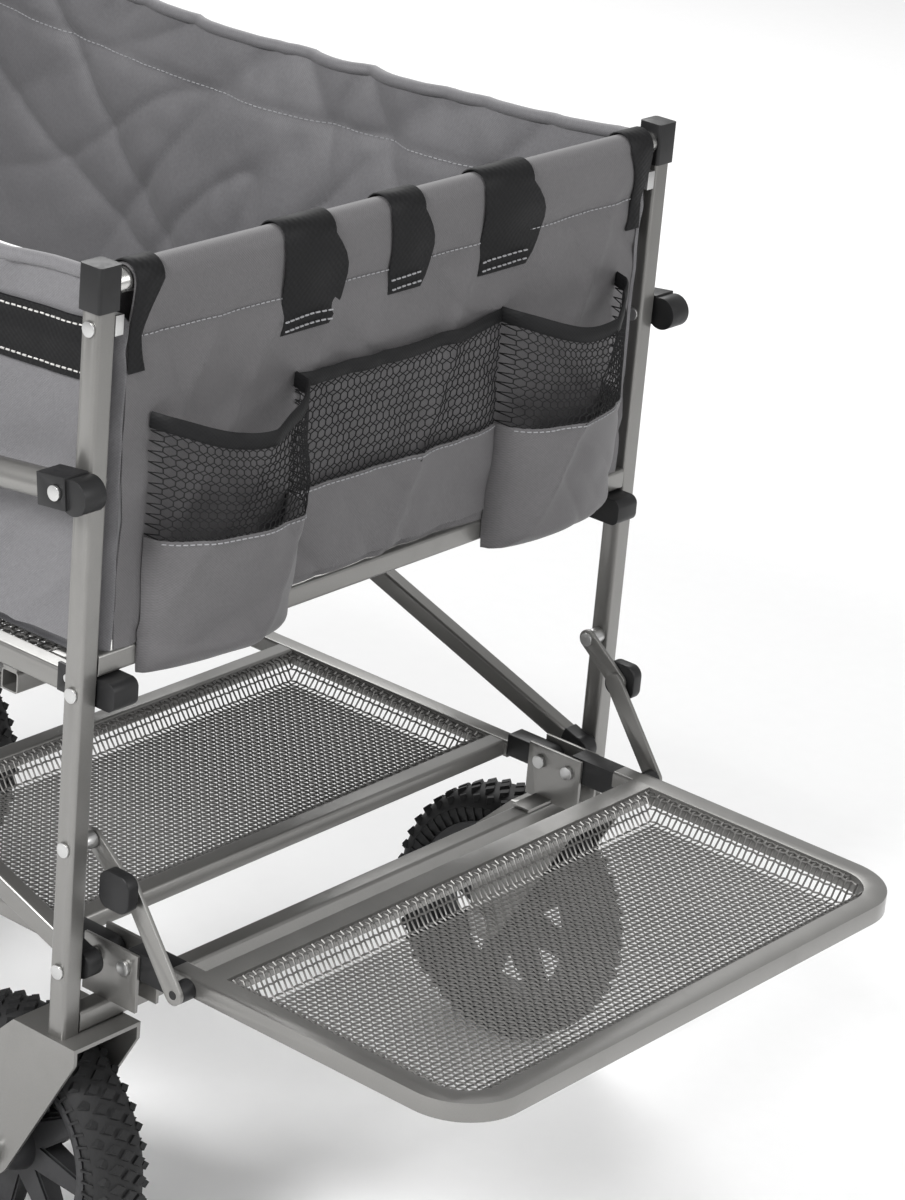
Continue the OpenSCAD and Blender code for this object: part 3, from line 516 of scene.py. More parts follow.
def make_wire_pan():
    """Woven wires over a sunken pan with sloped sides and, at +X, two round corners."""
    t = Tree("wire_pan", [
        ("Size X", "NodeSocketFloat", 0.2), ("Size Y", "NodeSocketFloat", 0.4),
        ("Pitch", "NodeSocketFloat", 0.005), ("Wire Radius", "NodeSocketFloat", 0.0007),
        ("Weave Height", "NodeSocketFloat", 0.0006), ("Depth", "NodeSocketFloat", 0.015),
        ("Slope", "NodeSocketFloat", 0.02), ("Corner Radius", "NodeSocketFloat", 0.0),
        ("Center", "NodeSocketVector", (0, 0, 0)), ("Material", "NodeSocketMaterial", None),
    ])
    count_x = t.calc("ROUND", t.calc("DIVIDE", t.ins["Size X"], t.ins["Pitch"]))
    count_y = t.calc("ROUND", t.calc("DIVIDE", t.ins["Size Y"], t.ins["Pitch"]))
    grid = t.add("GeometryNodeMeshGrid", Size_X=t.ins["Size X"], Size_Y=t.ins["Size Y"],
                 Vertices_X=count_x, Vertices_Y=count_y)
    where = t.add("ShaderNodeSeparateXYZ", Vector=t.add("GeometryNodeInputPosition").outputs[0])
    x, y = where.outputs["X"], where.outputs["Y"]
    half_x = t.calc("MULTIPLY", t.ins["Size X"], 0.5)
    half_y = t.calc("MULTIPLY", t.ins["Size Y"], 0.5)
    from_x = t.calc("SUBTRACT", half_x, t.calc("ABSOLUTE", x))
    from_y = t.calc("SUBTRACT", half_y, t.calc("ABSOLUTE", y))
    edge = t.calc("MINIMUM", from_x, from_y)
    fall = t.add("ShaderNodeMapRange", {"interpolation_type": "SMOOTHSTEP"}, Value=edge,
                 From_Min=0.003, From_Max=t.ins["Slope"], To_Min=0.0, To_Max=-1.0)
    sink = t.calc("MULTIPLY", fall.outputs[0], t.ins["Depth"])
    index = t.add("GeometryNodeInputIndex").outputs[0]
    column = t.calc("FLOOR", t.calc("DIVIDE", t.calc("ADD", index, 0.5), count_y))
    row = t.calc("SUBTRACT", index, t.calc("MULTIPLY", column, count_y))
    parity = t.calc("MODULO", t.calc("ADD", column, row), 2.0)
    sign = t.calc("SUBTRACT", t.calc("MULTIPLY", t.calc("ROUND", parity), 2.0), 1.0)
    # stored first, because the point order changes once edges are taken away
    kept = t.add("GeometryNodeStoreNamedAttribute", {"data_type": "FLOAT", "domain": "POINT"},
                 Geometry=grid.outputs["Mesh"], Name="wire_side", Value=sign)
    sunk = t.add("GeometryNodeStoreNamedAttribute", {"data_type": "FLOAT", "domain": "POINT"},
                 Geometry=kept.outputs["Geometry"], Name="pan_sink", Value=sink)
    # what lies outside the round corners at +X is taken away
    past_x = t.calc("SUBTRACT", x, t.calc("SUBTRACT", half_x, t.ins["Corner Radius"]))
    past_y = t.calc("SUBTRACT", t.calc("ABSOLUTE", y), t.calc("SUBTRACT", half_y, t.ins["Corner Radius"]))
    far = t.calc("SQRT", t.calc("ADD", t.calc("POWER", t.calc("MAXIMUM", past_x, 0.0), 2.0),
                                t.calc("POWER", t.calc("MAXIMUM", past_y, 0.0), 2.0)))
    limit = t.calc("ADD", t.ins["Corner Radius"], 0.0005)
    outside = t.calc("GREATER_THAN", far, limit)
    trimmed = t.add("GeometryNodeDeleteGeometry", {"domain": "POINT"},
                    Geometry=sunk.outputs["Geometry"], Selection=outside)
    section = t.add("GeometryNodeCurvePrimitiveCircle", Resolution=5, Radius=t.ins["Wire Radius"])
    joined = t.add("GeometryNodeJoinGeometry")
    ends = t.add("GeometryNodeInputMeshEdgeVertices")
    first = t.add("ShaderNodeSeparateXYZ", Vector=ends.outputs["Position 1"])
    second = t.add("ShaderNodeSeparateXYZ", Vector=ends.outputs["Position 2"])
    for axis, direction in (("X", 1.0), ("Y", -1.0)):
        span = t.calc("ABSOLUTE", t.calc("SUBTRACT", first.outputs[axis], second.outputs[axis]))
        across = t.calc("LESS_THAN", span, 0.0001)
        strands = t.add("GeometryNodeDeleteGeometry", {"domain": "EDGE"},
                        Geometry=trimmed.outputs["Geometry"], Selection=across)
        side = t.add("GeometryNodeInputNamedAttribute", {"data_type": "FLOAT"}, Name="wire_side")
        level = t.add("GeometryNodeInputNamedAttribute", {"data_type": "FLOAT"}, Name="pan_sink")
        lift = t.calc("MULTIPLY", t.calc("MULTIPLY", side.outputs[0], t.ins["Weave Height"]), direction)
        offset = t.add("ShaderNodeCombineXYZ", Z=t.calc("ADD", lift, level.outputs[0]))
        placed = t.add("GeometryNodeSetPosition", Geometry=strands.outputs["Geometry"],
                       Offset=offset.outputs[0])
        curves = t.add("GeometryNodeMeshToCurve", Mesh=placed.outputs["Geometry"])
        tube = t.add("GeometryNodeCurveToMesh", Curve=curves.outputs[0],
                     Profile_Curve=section.outputs["Curve"], Fill_Caps=True)
        t.tree.links.new(tube.outputs["Mesh"], joined.inputs["Geometry"])
    moved = t.add("GeometryNodeTransform", Geometry=joined.outputs["Geometry"],
                  Translation=t.ins["Center"])
    t.end(moved.outputs["Geometry"], t.ins["Material"])
    return t.tree


def make_stitches():
    """Short raised stitches along the object's own path, a pitch apart."""
    t = Tree("stitch_row", [
        ("Pitch", "NodeSocketFloat", 0.005), ("Stitch Length", "NodeSocketFloat", 0.0034),
        ("Thread", "NodeSocketFloat", 0.0009), ("Material", "NodeSocketMaterial", None),
    ])
    path = t.add("GeometryNodeMeshToCurve", Mesh=t.ins["Geometry"])
    spaced = t.add("GeometryNodeResampleCurve", {"mode": "LENGTH"}, Curve=path.outputs[0],
                   Length=t.ins["Pitch"])
    tangent = t.add("GeometryNodeInputTangent").outputs[0]
    turn = t.add("FunctionNodeAlignRotationToVector", {"axis": "X"}, Vector=tangent)
    size = t.add("ShaderNodeCombineXYZ", X=t.ins["Stitch Length"], Y=t.ins["Thread"],
                 Z=t.ins["Thread"])
    stitch = t.add("GeometryNodeMeshCube", Size=size.outputs[0])
    placed = t.add("GeometryNodeInstanceOnPoints", Points=spaced.outputs[0],
                   Instance=stitch.outputs["Mesh"], Rotation=turn.outputs[0])
    t.end(placed.outputs["Instances"], t.ins["Material"])
    return t.tree


def make_ring():
    """Copies of the object's own mesh, turned round the Y axis through a centre."""
    t = Tree("ring_of_copies", [
        ("Count", "NodeSocketInt", 12), ("Center", "NodeSocketVector", (0, 0, 0)),
        ("Start Angle", "NodeSocketFloat", 0.0), ("Material", "NodeSocketMaterial", None),
    ])
    line = t.add("GeometryNodeMeshLine", Count=t.ins["Count"], Offset=(0.0, 0.0, 0.0))
    index = t.add("GeometryNodeInputIndex").outputs[0]
    step = t.calc("DIVIDE", 2 * math.pi, t.ins["Count"])
    angle = t.calc("ADD", t.calc("MULTIPLY", index, step), t.ins["Start Angle"])
    turn = t.add("ShaderNodeCombineXYZ", Y=angle)
    copies = t.add("GeometryNodeInstanceOnPoints", Points=line.outputs["Mesh"],
                   Instance=t.ins["Geometry"], Rotation=turn.outputs[0])
    moved = t.add("GeometryNodeTransform", Geometry=copies.outputs["Instances"],
                  Translation=t.ins["Center"])
    t.end(moved.outputs["Geometry"], t.ins["Material"])
    return t.tree


WIRE_PAN = make_wire_pan()
STITCHES = make_stitches()
RING = make_ring()


def stitch_row(name, paths, body, thread=THREAD, pitch=5.0, length=3.4, size=0.9, slot="grey_fabric"):
    verts, edges = [], []
    for path in paths:
        edges += [(len(verts) + i, len(verts) + i + 1) for i in range(len(path) - 1)]
        verts += [tuple(p) for p in path]
    mesh = bpy.data.meshes.new(name)
    mesh.from_pydata(verts, edges, [])
    obj = bpy.data.objects.new(name, mesh)
    bpy.context.scene.collection.objects.link(obj)
    obj = run_tree(obj, STITCHES, Pitch=pitch * MM, Stitch_Length=length * MM, Thread=size * MM,
                   Material=thread)
    return finish_piece(obj, thread, body, slot, angle=30)


# ---------------------------------------------------------------- camera, lights, floor
def make_camera():
    """Long lens from behind and to the left, a little above the tub, turned slightly."""
    data = bpy.data.cameras.new("camera")
    data.sensor_fit = "VERTICAL"
    data.sensor_height = 36.0
    data.lens = 117.874
    data.clip_end = 50
    camera = bpy.data.objects.new("camera", data)
    bpy.context.scene.collection.objects.link(camera)
    turn, rise, roll = (math.radians(a) for a in (38.59, 22.6, 5.09))
    back = Vector((math.sin(turn) * math.cos(rise), -math.cos(turn) * math.cos(rise), math.sin(rise)))
    right = Vector((math.cos(turn), math.sin(turn), 0))
    up = back.cross(right)
    cam_right = right * math.cos(roll) + up * math.sin(roll)
    cam_up = -right * math.sin(roll) + up * math.cos(roll)
    place = Matrix((cam_right, cam_up, back)).transposed().to_4x4()
    place.translation = Vector((1.55618 + REAR_X, -1.86045, 1.45131))
    camera.matrix_world = place
    bpy.context.scene.camera = camera


def area_light(name, position, target, size, power):
    data = bpy.data.lights.new(name, "AREA")
    data.shape = "DISK"
    data.size = size
    data.energy = power
    lamp = bpy.data.objects.new(name, data)
    lamp.location = position
    lamp.rotation_euler = (Vector(target) - Vector(position)).to_track_quat("-Z", "Y").to_euler()
    bpy.context.scene.collection.objects.link(lamp)


def make_studio():
    world = bpy.data.worlds.new("studio")
    world.use_nodes = True
    world.node_tree.nodes["Background"].inputs["Color"].default_value = (1, 1, 1, 1)
    world.node_tree.nodes["Background"].inputs["Strength"].default_value = 0.55
    bpy.context.scene.world = world
    aim = (REAR_X, 0, 0.4)
    area_light("key", (0.2, -2.9, 2.6), aim, 1.1, 135)
    area_light("fill", (2.9, 0.4, 1.9), aim, 2.2, 46)
    area_light("back", (-2.2, 2.0, 2.9), aim, 2.2, 75)
    mat, tree, shader, coords = start_material("studio_floor")
    mottle = use_group(tree, MOTTLE, Vector=coords, Cloud_Scale=1.5, Speck_Scale=60.0)
    tree.links.new(colour_between(tree, mottle.outputs["Mask"], (0.86, 0.86, 0.86), (0.9, 0.9, 0.9)),
                   shader.inputs["Base Color"])
    shader.inputs["Roughness"].default_value = 0.9
    size = 30.0
    corners = [(-size, -size, 0), (size, -size, 0), (size, size, 0), (-size, size, 0)]
    floor = mesh_object("floor", corners, [(0, 1, 2, 3)])
    floor.data.materials.append(mat)
    bpy.context.scene.view_settings.view_transform = "Standard"


# ---------------------------------------------------------------- metal and plastic from the frame
SOFT_NODES = {"rear_panel", "front_panel", "rear_pockets", "side_wall_left", "side_wall_right",
              "rear_floor_pad", "front_floor_pad"}
WHEELS = {
    "rear_left": ("rear_tyre_left", "rear_rim_left"),
    "rear_right": ("rear_tyre_right", "rear_rim_right"),
    "front_left": ("front_tyre_left", "front_rim_left"),
    "front_right": ("front_tyre_right", "front_rim_right"),
}
PANS = ["rear_deck_mesh", "front_deck_mesh", "rear_shelf_mesh", "front_shelf_mesh", "platform_mesh"]
BEVELS = {"rear_caps": 1.2, "front_caps": 1.2, "rear_pivot_blocks": 1.0, "front_pivot_blocks": 1.0,
          "stay_knobs": 6.0, "handle_grip": 3.0, "rear_side_rail_ends": 1.6,
          "front_side_rail_ends": 1.6, "rear_brace_ends": 1.2, "front_brace_ends": 1.2,
          "rear_shelf_ends": 1.2, "front_shelf_ends": 1.2, "platform_ends": 1.2}


def make_hard_parts():
    made_elsewhere = SOFT_NODES | set(PANS) | {n for pair in WHEELS.values() for n in pair}
    for node in sorted(NODES):
        if node not in made_elsewhere:
            refine(node, BEVELS.get(node, 0.4))


def make_pan(node, pitch, slope, corner):
    low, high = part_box(node)
    depth = high.z - low.z
    holder = mesh_object(node + "_wires", [(0, 0, 0)], [])
    wire = 0.75 * MM
    sink = max(depth - 3 * MM, 0.0)
    obj = run_tree(holder, WIRE_PAN, Size_X=high.x - low.x - 2 * wire, Size_Y=high.y - low.y - 2 * wire,
                   Pitch=pitch * MM, Wire_Radius=wire, Weave_Height=0.55 * MM, Depth=sink,
                   Slope=slope * MM, Corner_Radius=corner * MM,
                   Center=((low.x + high.x) / 2, 0, high.z - 1.5 * MM),
                   Material=MATERIALS["steel_mesh"])
    finish_piece(obj, MATERIALS["steel_mesh"], BODY_OF[node], "steel_mesh", [node], angle=60)


def make_pans():
    for node in PANS:
        deck = "deck" in node
        make_pan(node, 6.0 if deck else 4.6, 16.0, 29.0 if node == "platform_mesh" else 0.0)


# ---------------------------------------------------------------- wheels
def tread_block(radius, y, length, width, height):
    """One diamond block of tread at the top of the tyre."""
    half_l, half_w = length / 2, width / 2
    base = [(-half_l, 0), (0, -half_w), (half_l, 0), (0, half_w)]
    low, high = radius - 3 * MM, radius + height
    verts = [(x, y + v, low) for x, v in base] + [(x * 0.8, y + v * 0.8, high) for x, v in base]
    faces = [(3, 2, 1, 0), (4, 5, 6, 7)] + [(i, (i + 1) % 4, 4 + (i + 1) % 4, 4 + i) for i in range(4)]
    return verts, faces


def spoke(inner, outer):
    """One tapered spoke with a rib, pointing up."""
    bm = bmesh.new()
    stations = ((inner, 11 * MM, 9 * MM), (outer, 6.5 * MM, 6 * MM))
    rings = []
    for r, half_w, half_t in stations:
        ring = [(-half_w, -half_t), (half_w, -half_t), (half_w, half_t), (-half_w, half_t)]
        rings.append([bm.verts.new((x, y, r)) for x, y in ring])
    for i in range(4):
        k = (i + 1) % 4
        bm.faces.new((rings[0][i], rings[0][k], rings[1][k], rings[1][i]))
    bm.faces.new(rings[0][::-1])
    bm.faces.new(rings[1])
    bmesh.ops.bevel(bm, geom=list(bm.edges), offset=1.6 * MM, segments=2, affect="EDGES",
                    clamp_overlap=True)
    return bm


def make_wheel(tyre_node, rim_node):
    low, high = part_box(tyre_node)
    center = (low + high) / 2
    outer, half = (high.z - low.z) / 2, (high.y - low.y) / 2
    rim_low, rim_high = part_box(rim_node)
    seat = (rim_high.z - rim_low.z) / 2
    hub_half = (rim_high.y - rim_low.y) / 2
    crown = outer - 2.4 * MM
    body = BODY_OF[tyre_node]
    # tyre carcass: crowned tread, shouldered sidewall with a shallow step
    one_side = [(crown, 0.0), (crown - 0.6 * MM, half * 0.45), (crown - 3 * MM, half * 0.72),
                (crown - 7.5 * MM, half * 0.93), (crown - 11 * MM, half * 0.985),
                (crown - 12 * MM, half * 0.93), (crown - 16 * MM, half * 0.95),
                (crown - 20 * MM, half * 0.88), (seat + 2 * MM, half * 0.80), (seat, half * 0.70)]
    profile = one_side + [(r, -y) for r, y in one_side[:0:-1]]
    tyre = object_from_bmesh(tyre_node + "_carcass", lathe_y(profile, 96, center))
    finish_piece(tyre, MATERIALS["tyre"], body, "tyre", [tyre_node], angle=45)
    rows = [(0.0, 0.0, 9.5, 15.0), (0.42, 0.5, 9.0, 13.5), (-0.42, 0.5, 9.0, 13.5),
            (0.80, 0.0, 8.0, 9.0), (-0.80, 0.0, 8.0, 9.0)]
    count = 44
    for k, (share, phase, length, width) in enumerate(rows):
        drop = (0.0, 0.9, 0.9, 4.6, 4.6)[k] * MM
        verts, faces = tread_block(crown - drop, share * half, length * MM, width * MM, 2.2 * MM)
        block = mesh_object(f"{tyre_node}_tread_{k}", verts, faces)
        obj = run_tree(block, RING, Count=count, Center=tuple(center),
                       Start_Angle=phase * 2 * math.pi / count, Material=MATERIALS["tyre"])
        finish_piece(obj, MATERIALS["tyre"], body, "tyre", angle=30)
    # sidewall ribs
    for side in (-1, 1):
        bm = bmesh.new()
        bmesh.ops.create_cube(bm, size=1.0)
        bmesh.ops.scale(bm, verts=bm.verts, vec=(1.6 * MM, 2.4 * MM, 11 * MM))
        bmesh.ops.translate(bm, verts=bm.verts, vec=(0, side * half * 0.93, crown - 17 * MM))
        rib = object_from_bmesh(f"{tyre_node}_rib_{'left' if side < 0 else 'right'}", bm)
        obj = run_tree(rib, RING, Count=60, Center=tuple(center), Start_Angle=0.0,
                       Material=MATERIALS["tyre"])
        finish_piece(obj, MATERIALS["tyre"], body, "tyre", angle=30)
    # rim: dished barrel, hub and tapered spokes
    ring_half = half - 3 * MM
    barrel = [(seat, ring_half), (seat + 2.5 * MM, ring_half), (seat + 2.5 * MM, ring_half - 2.5 * MM),
              (seat - 0.3 * MM, ring_half - 4 * MM), (seat - 0.3 * MM, -ring_half + 4 * MM),
              (seat + 2.5 * MM, -ring_half + 2.5 * MM), (seat + 2.5 * MM, -ring_half),
              (seat, -ring_half), (seat - 7 * MM, -ring_half + 3 * MM), (seat - 10 * MM, 0),
              (seat - 7 * MM, ring_half - 3 * MM)]
    rim = lathe_y(barrel, 96, center)
    bore = 5.05 * MM
    hub = [(bore, hub_half), (12 * MM, hub_half), (17 * MM, hub_half - 9 * MM), (20 * MM, 8 * MM),
           (20 * MM, -8 * MM), (17 * MM, -hub_half + 9 * MM), (12 * MM, -hub_half), (bore, -hub_half)]
    shapes = [object_from_bmesh(rim_node + "_barrel", rim),
              object_from_bmesh(rim_node + "_hub", lathe_y(hub, 48, center))]
    arm = object_from_bmesh(rim_node + "_spokes", spoke(16 * MM, seat - 6 * MM))
    shapes.append(run_tree(arm, RING, Count=8, Center=tuple(center), Start_Angle=0.2,
                           Material=MATERIALS["wheel_rim"]))
    for k, shape in enumerate(shapes):
        finish_piece(shape, MATERIALS["wheel_rim"], body, "wheel_rim", [rim_node] if k == 0 else ())


# ---------------------------------------------------------------- fabric end panels
SLEEVE_R = RAIL_R + 1.8 * MM


def panel_profile(v):
    """X offset from the posts' plane and height, for v from the inner hem over the rail to the foot."""
    inner_len, arc_len = RAIL_Z - SEAM_Z, math.pi * SLEEVE_R
    outer_len = RAIL_Z - PANEL_LOW
    s = v * (inner_len + arc_len + outer_len)
    if s < inner_len:
        share = s / inner_len
        return -SLEEVE_R + (1 - share) * 6.5 * MM, SEAM_Z + s
    if s < inner_len + arc_len:
        angle = (s - inner_len) / SLEEVE_R
        return -SLEEVE_R * math.cos(angle), RAIL_Z + SLEEVE_R * math.sin(angle)
    z = RAIL_Z - (s - inner_len - arc_len)
    lean = smoothstep((RAIL_Z - z) / (RAIL_Z - SEAM_Z))
    return SLEEVE_R - lean * 4.0 * MM, z


def panel_face(y, z):
    """How far the hanging cloth bellies out at y and z."""
    height = (RAIL_Z - z) / (RAIL_Z - PANEL_LOW)
    share = abs(y) / PANEL_HALF
    belly = 5.0 * MM * math.sin(math.pi * min(1, max(0, height))) * (1 - share ** 4)
    folds = 3.6 * wave(y + 0.5 * z, 0, z * 0.5, 13, 1.3) + 1.1 * wave(y, 0, z, 42, 5.1)
    folds += 3.4 * crease(y - 0.4 * z, 0.35 * z, 11, 8.3) - 2.2 * crease(y + 0.9 * z, 0.5 * z, 17, 3.9)
    near_seam = math.exp(-((z - SEAM_Z) / (8 * MM)) ** 2)
    loose = smoothstep((RAIL_Z - z) / 60e-3)
    return belly + folds * MM * loose - 1.4 * MM * near_seam


def panel_profile_x(z):
    return SLEEVE_R - smoothstep((RAIL_Z - z) / (RAIL_Z - SEAM_Z)) * 4.0 * MM


def cloth_x(y, z):
    """How far out from the posts' plane the hanging cloth lies."""
    return panel_profile_x(z) + panel_face(y, z)


def make_panel(end_x, outward, body, node, label):
    def place(u, v):
        y = (2 * u - 1) * PANEL_HALF
        x, z = panel_profile(v)
        if x > 0 and z < RAIL_Z:
            x += panel_face(y, z)
        return Vector((end_x + outward * x, y, z))

    obj = sheet_mesh(f"{label}_panel_cloth", place, 130, 110, FABRIC_T)
    finish_piece(obj, PANEL_CLOTH, body, "grey_fabric", [node], angle=60)
    return obj


def strap_path(end_x, outward, y, tail_out, tail_in, proud):
    """Points over the rail, from outside to inside, for a strap laid on the sleeve."""
    radius = SLEEVE_R + FABRIC_T / 2 + proud
    points = []
    for k in range(9):
        z = RAIL_Z - tail_out + tail_out * k / 8
        x = cloth_x(y, z) + FABRIC_T / 2 + proud
        points.append(Vector((end_x + outward * x, y, z)))
    for k in range(1, 12):
        angle = math.pi * k / 12
        points.append(Vector((end_x + outward * radius * math.cos(angle), y,
                              RAIL_Z + radius * math.sin(angle))))
    for k in range(5):
        z = RAIL_Z - tail_in * k / 4
        points.append(Vector((end_x - outward * radius, y, z)))
    return points


def ribbon(name, centre, bounds):
    """A band along centre, whose two sides' Y values come from bounds(point)."""
    verts = []
    for p, point in enumerate(centre):
        normal = heading(centre, p).cross(Vector((0, 1, 0))).normalized()
        low, high = bounds(point)
        section = band_section(high - low, WEB_T)
        verts += [Vector((point.x, (low + high) / 2 + b, point.z)) + normal * a for a, b in section]
    return face_outward(mesh_object(name, verts, skin_faces(len(centre), len(section))))


# each strap's two sides along Y, how far its tail swings out, and the tail's length, in mm
STRAPS = ((-121, -74, 16, 60), (-21, 12, 12, 52), (72, 122, 18, 58))


def make_straps(end_x, outward, body, label):
    """Three webbing loops over the rail; each tail swings out to one side on its way down."""
    rows = []
    for k, (low, high, swing, tail) in enumerate(STRAPS):
        def bounds(point, low=low, high=high, swing=swing, tail=tail):
            fall = max(0.0, (RAIL_Z - point.z) / (tail * MM))
            outer = (point.x - end_x) * outward > 0
            bulge = math.sin(math.pi * min(1.0, fall)) if outer else 0.0
            return (low + 3 * bulge) * MM, (high + swing * bulge) * MM

        centre = strap_path(end_x, outward, (low + high) / 2 * MM, tail * MM, 34 * MM, 1.6 * MM)
        obj = ribbon(f"{label}_strap_{k}", centre, bounds)
        finish_piece(obj, WEBBING, body, "grey_fabric", angle=50)
        for rise in (4, 10):
            z = RAIL_Z - tail * MM + rise * MM
            rows.append([
                Vector((end_x + outward * (cloth_x(yy, z) + 4.6 * MM), yy, z))
                for yy in np.linspace((low + 3) * MM, (high - 3) * MM, 12)])
    stitch_row(f"{label}_strap_stitches", rows, body, DARK_THREAD)


def make_corner_loops(end_x, outward, body, label):
    """Black bound tabs at the panel's two top corners, narrowing on their way down."""
    for side in (-1, 1):
        edge = side * (PANEL_HALF + 0.5 * MM)

        def bounds(point, edge=edge, side=side):
            fall = min(1.0, max(0.0, (RAIL_Z - point.z) / TAB_TAIL))
            inner = edge - side * (24 - 13 * math.sin(math.pi * fall * 0.75)) * MM
            return min(edge, inner), max(edge, inner)

        centre = strap_path(end_x, outward, side * (PANEL_HALF - 9 * MM), TAB_TAIL, 30 * MM, 1.4 * MM)
        obj = ribbon(f"{label}_corner_loop_{'left' if side < 0 else 'right'}", centre, bounds)
        finish_piece(obj, WEBBING, body, "grey_fabric", angle=50)


def make_end(end_x, outward, body, node, label):
    make_panel(end_x, outward, body, node, label)
    make_straps(end_x, outward, body, label)
    make_corner_loops(end_x, outward, body, label)
    row = [Vector((end_x + outward * (cloth_x(y, SEAM_Z) + 1.3 * MM), y, SEAM_Z))
           for y in np.linspace(-PANEL_HALF + 6 * MM, PANEL_HALF - 6 * MM, 90)]
    stitch_row(f"{label}_sleeve_stitches", [row], body, DARK_THREAD, 4.4, 3.0, 0.7)


# ---------------------------------------------------------------- pockets
CUP_IN = 104 * MM
CUP_OUT = 230 * MM
NET_LOW = PANEL_LOW + 66 * MM
POCKET_TOP = POCKET_HI.z
CUP_LOW = POCKET_LO.z
CUP_DEPTH = POCKET_HI.x - REAR_X - 4 * MM


def cup_point(side, u, z):
    """A cup's wall at share u across it, from its inner to its outer edge."""
    y = CUP_IN + (CUP_OUT - CUP_IN) * u
    swell = math.sin(math.pi * u) ** 0.42
    skew = 1.0 - 0.22 * u
    drop = (POCKET_TOP - z) / (POCKET_TOP - CUP_LOW)
    fullness = 0.86 + 0.14 * math.sin(math.pi * min(1, max(0, drop)))
    base = cloth_x(side * y, z) + 1.5 * MM
    depth = (CUP_DEPTH - 14 * MM) * swell * skew * fullness
    crease = 1.2 * MM * wave(y * side, 0.2, z, 30, 3.0) * math.sin(math.pi * u)
    return Vector((REAR_X + base + depth + crease, side * y, z))


def cup_rim_z(u):
    return POCKET_TOP - 2 * MM - 16 * MM * math.sin(math.pi * u) ** 1.2


def net_paths(place, columns, rows, steps):
    """Diamond net: strings that run both ways across place(u, v)."""
    paths = []
    for direction in (1, -1):
        for start in range(-rows, columns + rows + 1):
            path = []
            for k in range(rows * steps + 1):
                v = k / (rows * steps)
                column = start + direction * k / steps
                u = column / columns
                if -1e-6 <= u <= 1 + 1e-6:
                    # strings pull together at their crossings
                    pinch = 0.22 * math.sin(2 * math.pi * (k / steps)) / columns
                    path.append(place(min(1, max(0, u + direction * pinch)), v))
            if len(path) > 2:
                paths.append(path)
    return paths


POCKET_STITCH = (4.4, 3.0, 0.7)      # pitch, length and thread of the pockets' hems, in mm


def sew_pocket(name, net, cord, rim, rim_width, cloth, cells, replaced=()):
    """A pocket's net, its bound rim and its cloth foot; the cloth is given back."""
    obj = many_sweeps(f"{name}_net", net, circle_section(cord, 4), Vector((1, 0.3, 0)))
    finish_piece(obj, NET, "rear_frame", "pocket_mesh", replaced, angle=80)
    section = band_section(rim_width, 2.4 * MM)
    obj = many_sweeps(f"{name}_binding", [rim], section, Vector((0, 0, 1)))
    finish_piece(obj, BINDING, "rear_frame", "pocket_mesh", angle=50)
    obj = sheet_mesh(f"{name}_cloth", cloth, *cells, FABRIC_T)
    return finish_piece(obj, PANEL_CLOTH, "rear_frame", "grey_fabric", angle=60)


def make_cup(side, label):
    net = net_paths(lambda u, v: cup_point(side, u, NET_LOW + (cup_rim_z(u) - NET_LOW) * v),
                    26, 12, 4)
    rim = [cup_point(side, u, cup_rim_z(u)) for u in np.linspace(0.0, 1.0, 40)]

    def cloth(u, v):
        top = NET_LOW + 5 * MM
        z = top - (top - CUP_LOW - 2 * MM) * min(1.0, v / 0.86)
        point = cup_point(side, u, z)
        if v > 0.72:
            share = smoothstep((v - 0.72) / 0.28)
            back = REAR_X + panel_profile_x(z) + 3 * MM
            point.x = point.x + (back - point.x) * share
        return point

    obj = sew_pocket(f"{label}_cup", net, 0.45 * MM, rim, 11 * MM, cloth, (48, 40),
                     ["rear_pockets"] if side < 0 else ())
    proud = Vector((1.2 * MM, 0, 0))
    hem = [cup_point(side, u, NET_LOW + 3 * MM) + proud for u in np.linspace(0.03, 0.97, 40)]
    stitch_row(f"{label}_cup_stitches", [hem], "rear_frame", DARK_THREAD, *POCKET_STITCH)


def make_flat_pocket():
    def front(y, z):
        depth = 6 * MM * (1 - (y / CUP_IN) ** 4)
        return Vector((REAR_X + cloth_x(y, z) + 1.6 * MM + depth, y, z))

    top = POCKET_TOP - 3 * MM
    width = 2 * CUP_IN
    net = net_paths(lambda u, v: front(-CUP_IN + width * u, NET_LOW + (top - NET_LOW) * v),
                    34, 11, 4)
    rim = [front(y, top) for y in np.linspace(-CUP_IN, CUP_IN, 30)]
    low = PANEL_LOW + 8 * MM

    def cloth(u, v):
        return front(-CUP_IN + width * u, NET_LOW + 5 * MM - (NET_LOW + 5 * MM - low) * v)

    obj = sew_pocket("flat_pocket", net, 0.42 * MM, rim, 10 * MM, cloth, (50, 20))
    proud = Vector((1.2 * MM, 0, 0))
    hem = [front(y, NET_LOW + 3 * MM) + proud for y in np.linspace(-CUP_IN, CUP_IN, 40)]
    stitch_row("flat_pocket_stitches", [hem], "rear_frame", DARK_THREAD, *POCKET_STITCH)


# ---------------------------------------------------------------- side walls
WALL_MID = (WALL_LO.y + WALL_HI.y) / 2
WALL_T = 2.2 * MM
WALL_SAG = 16 * MM              # how far the top hem hangs at mid length
WALL_SEAM = 46 * MM             # seam below the top hem
WALL_REAR = REAR_X + 6 * MM
WALL_FRONT = FRONT_X - 6 * MM


def wall_top(u):
    return WALL_HI.z - WALL_SAG * (1 - (2 * u - 1) ** 2)


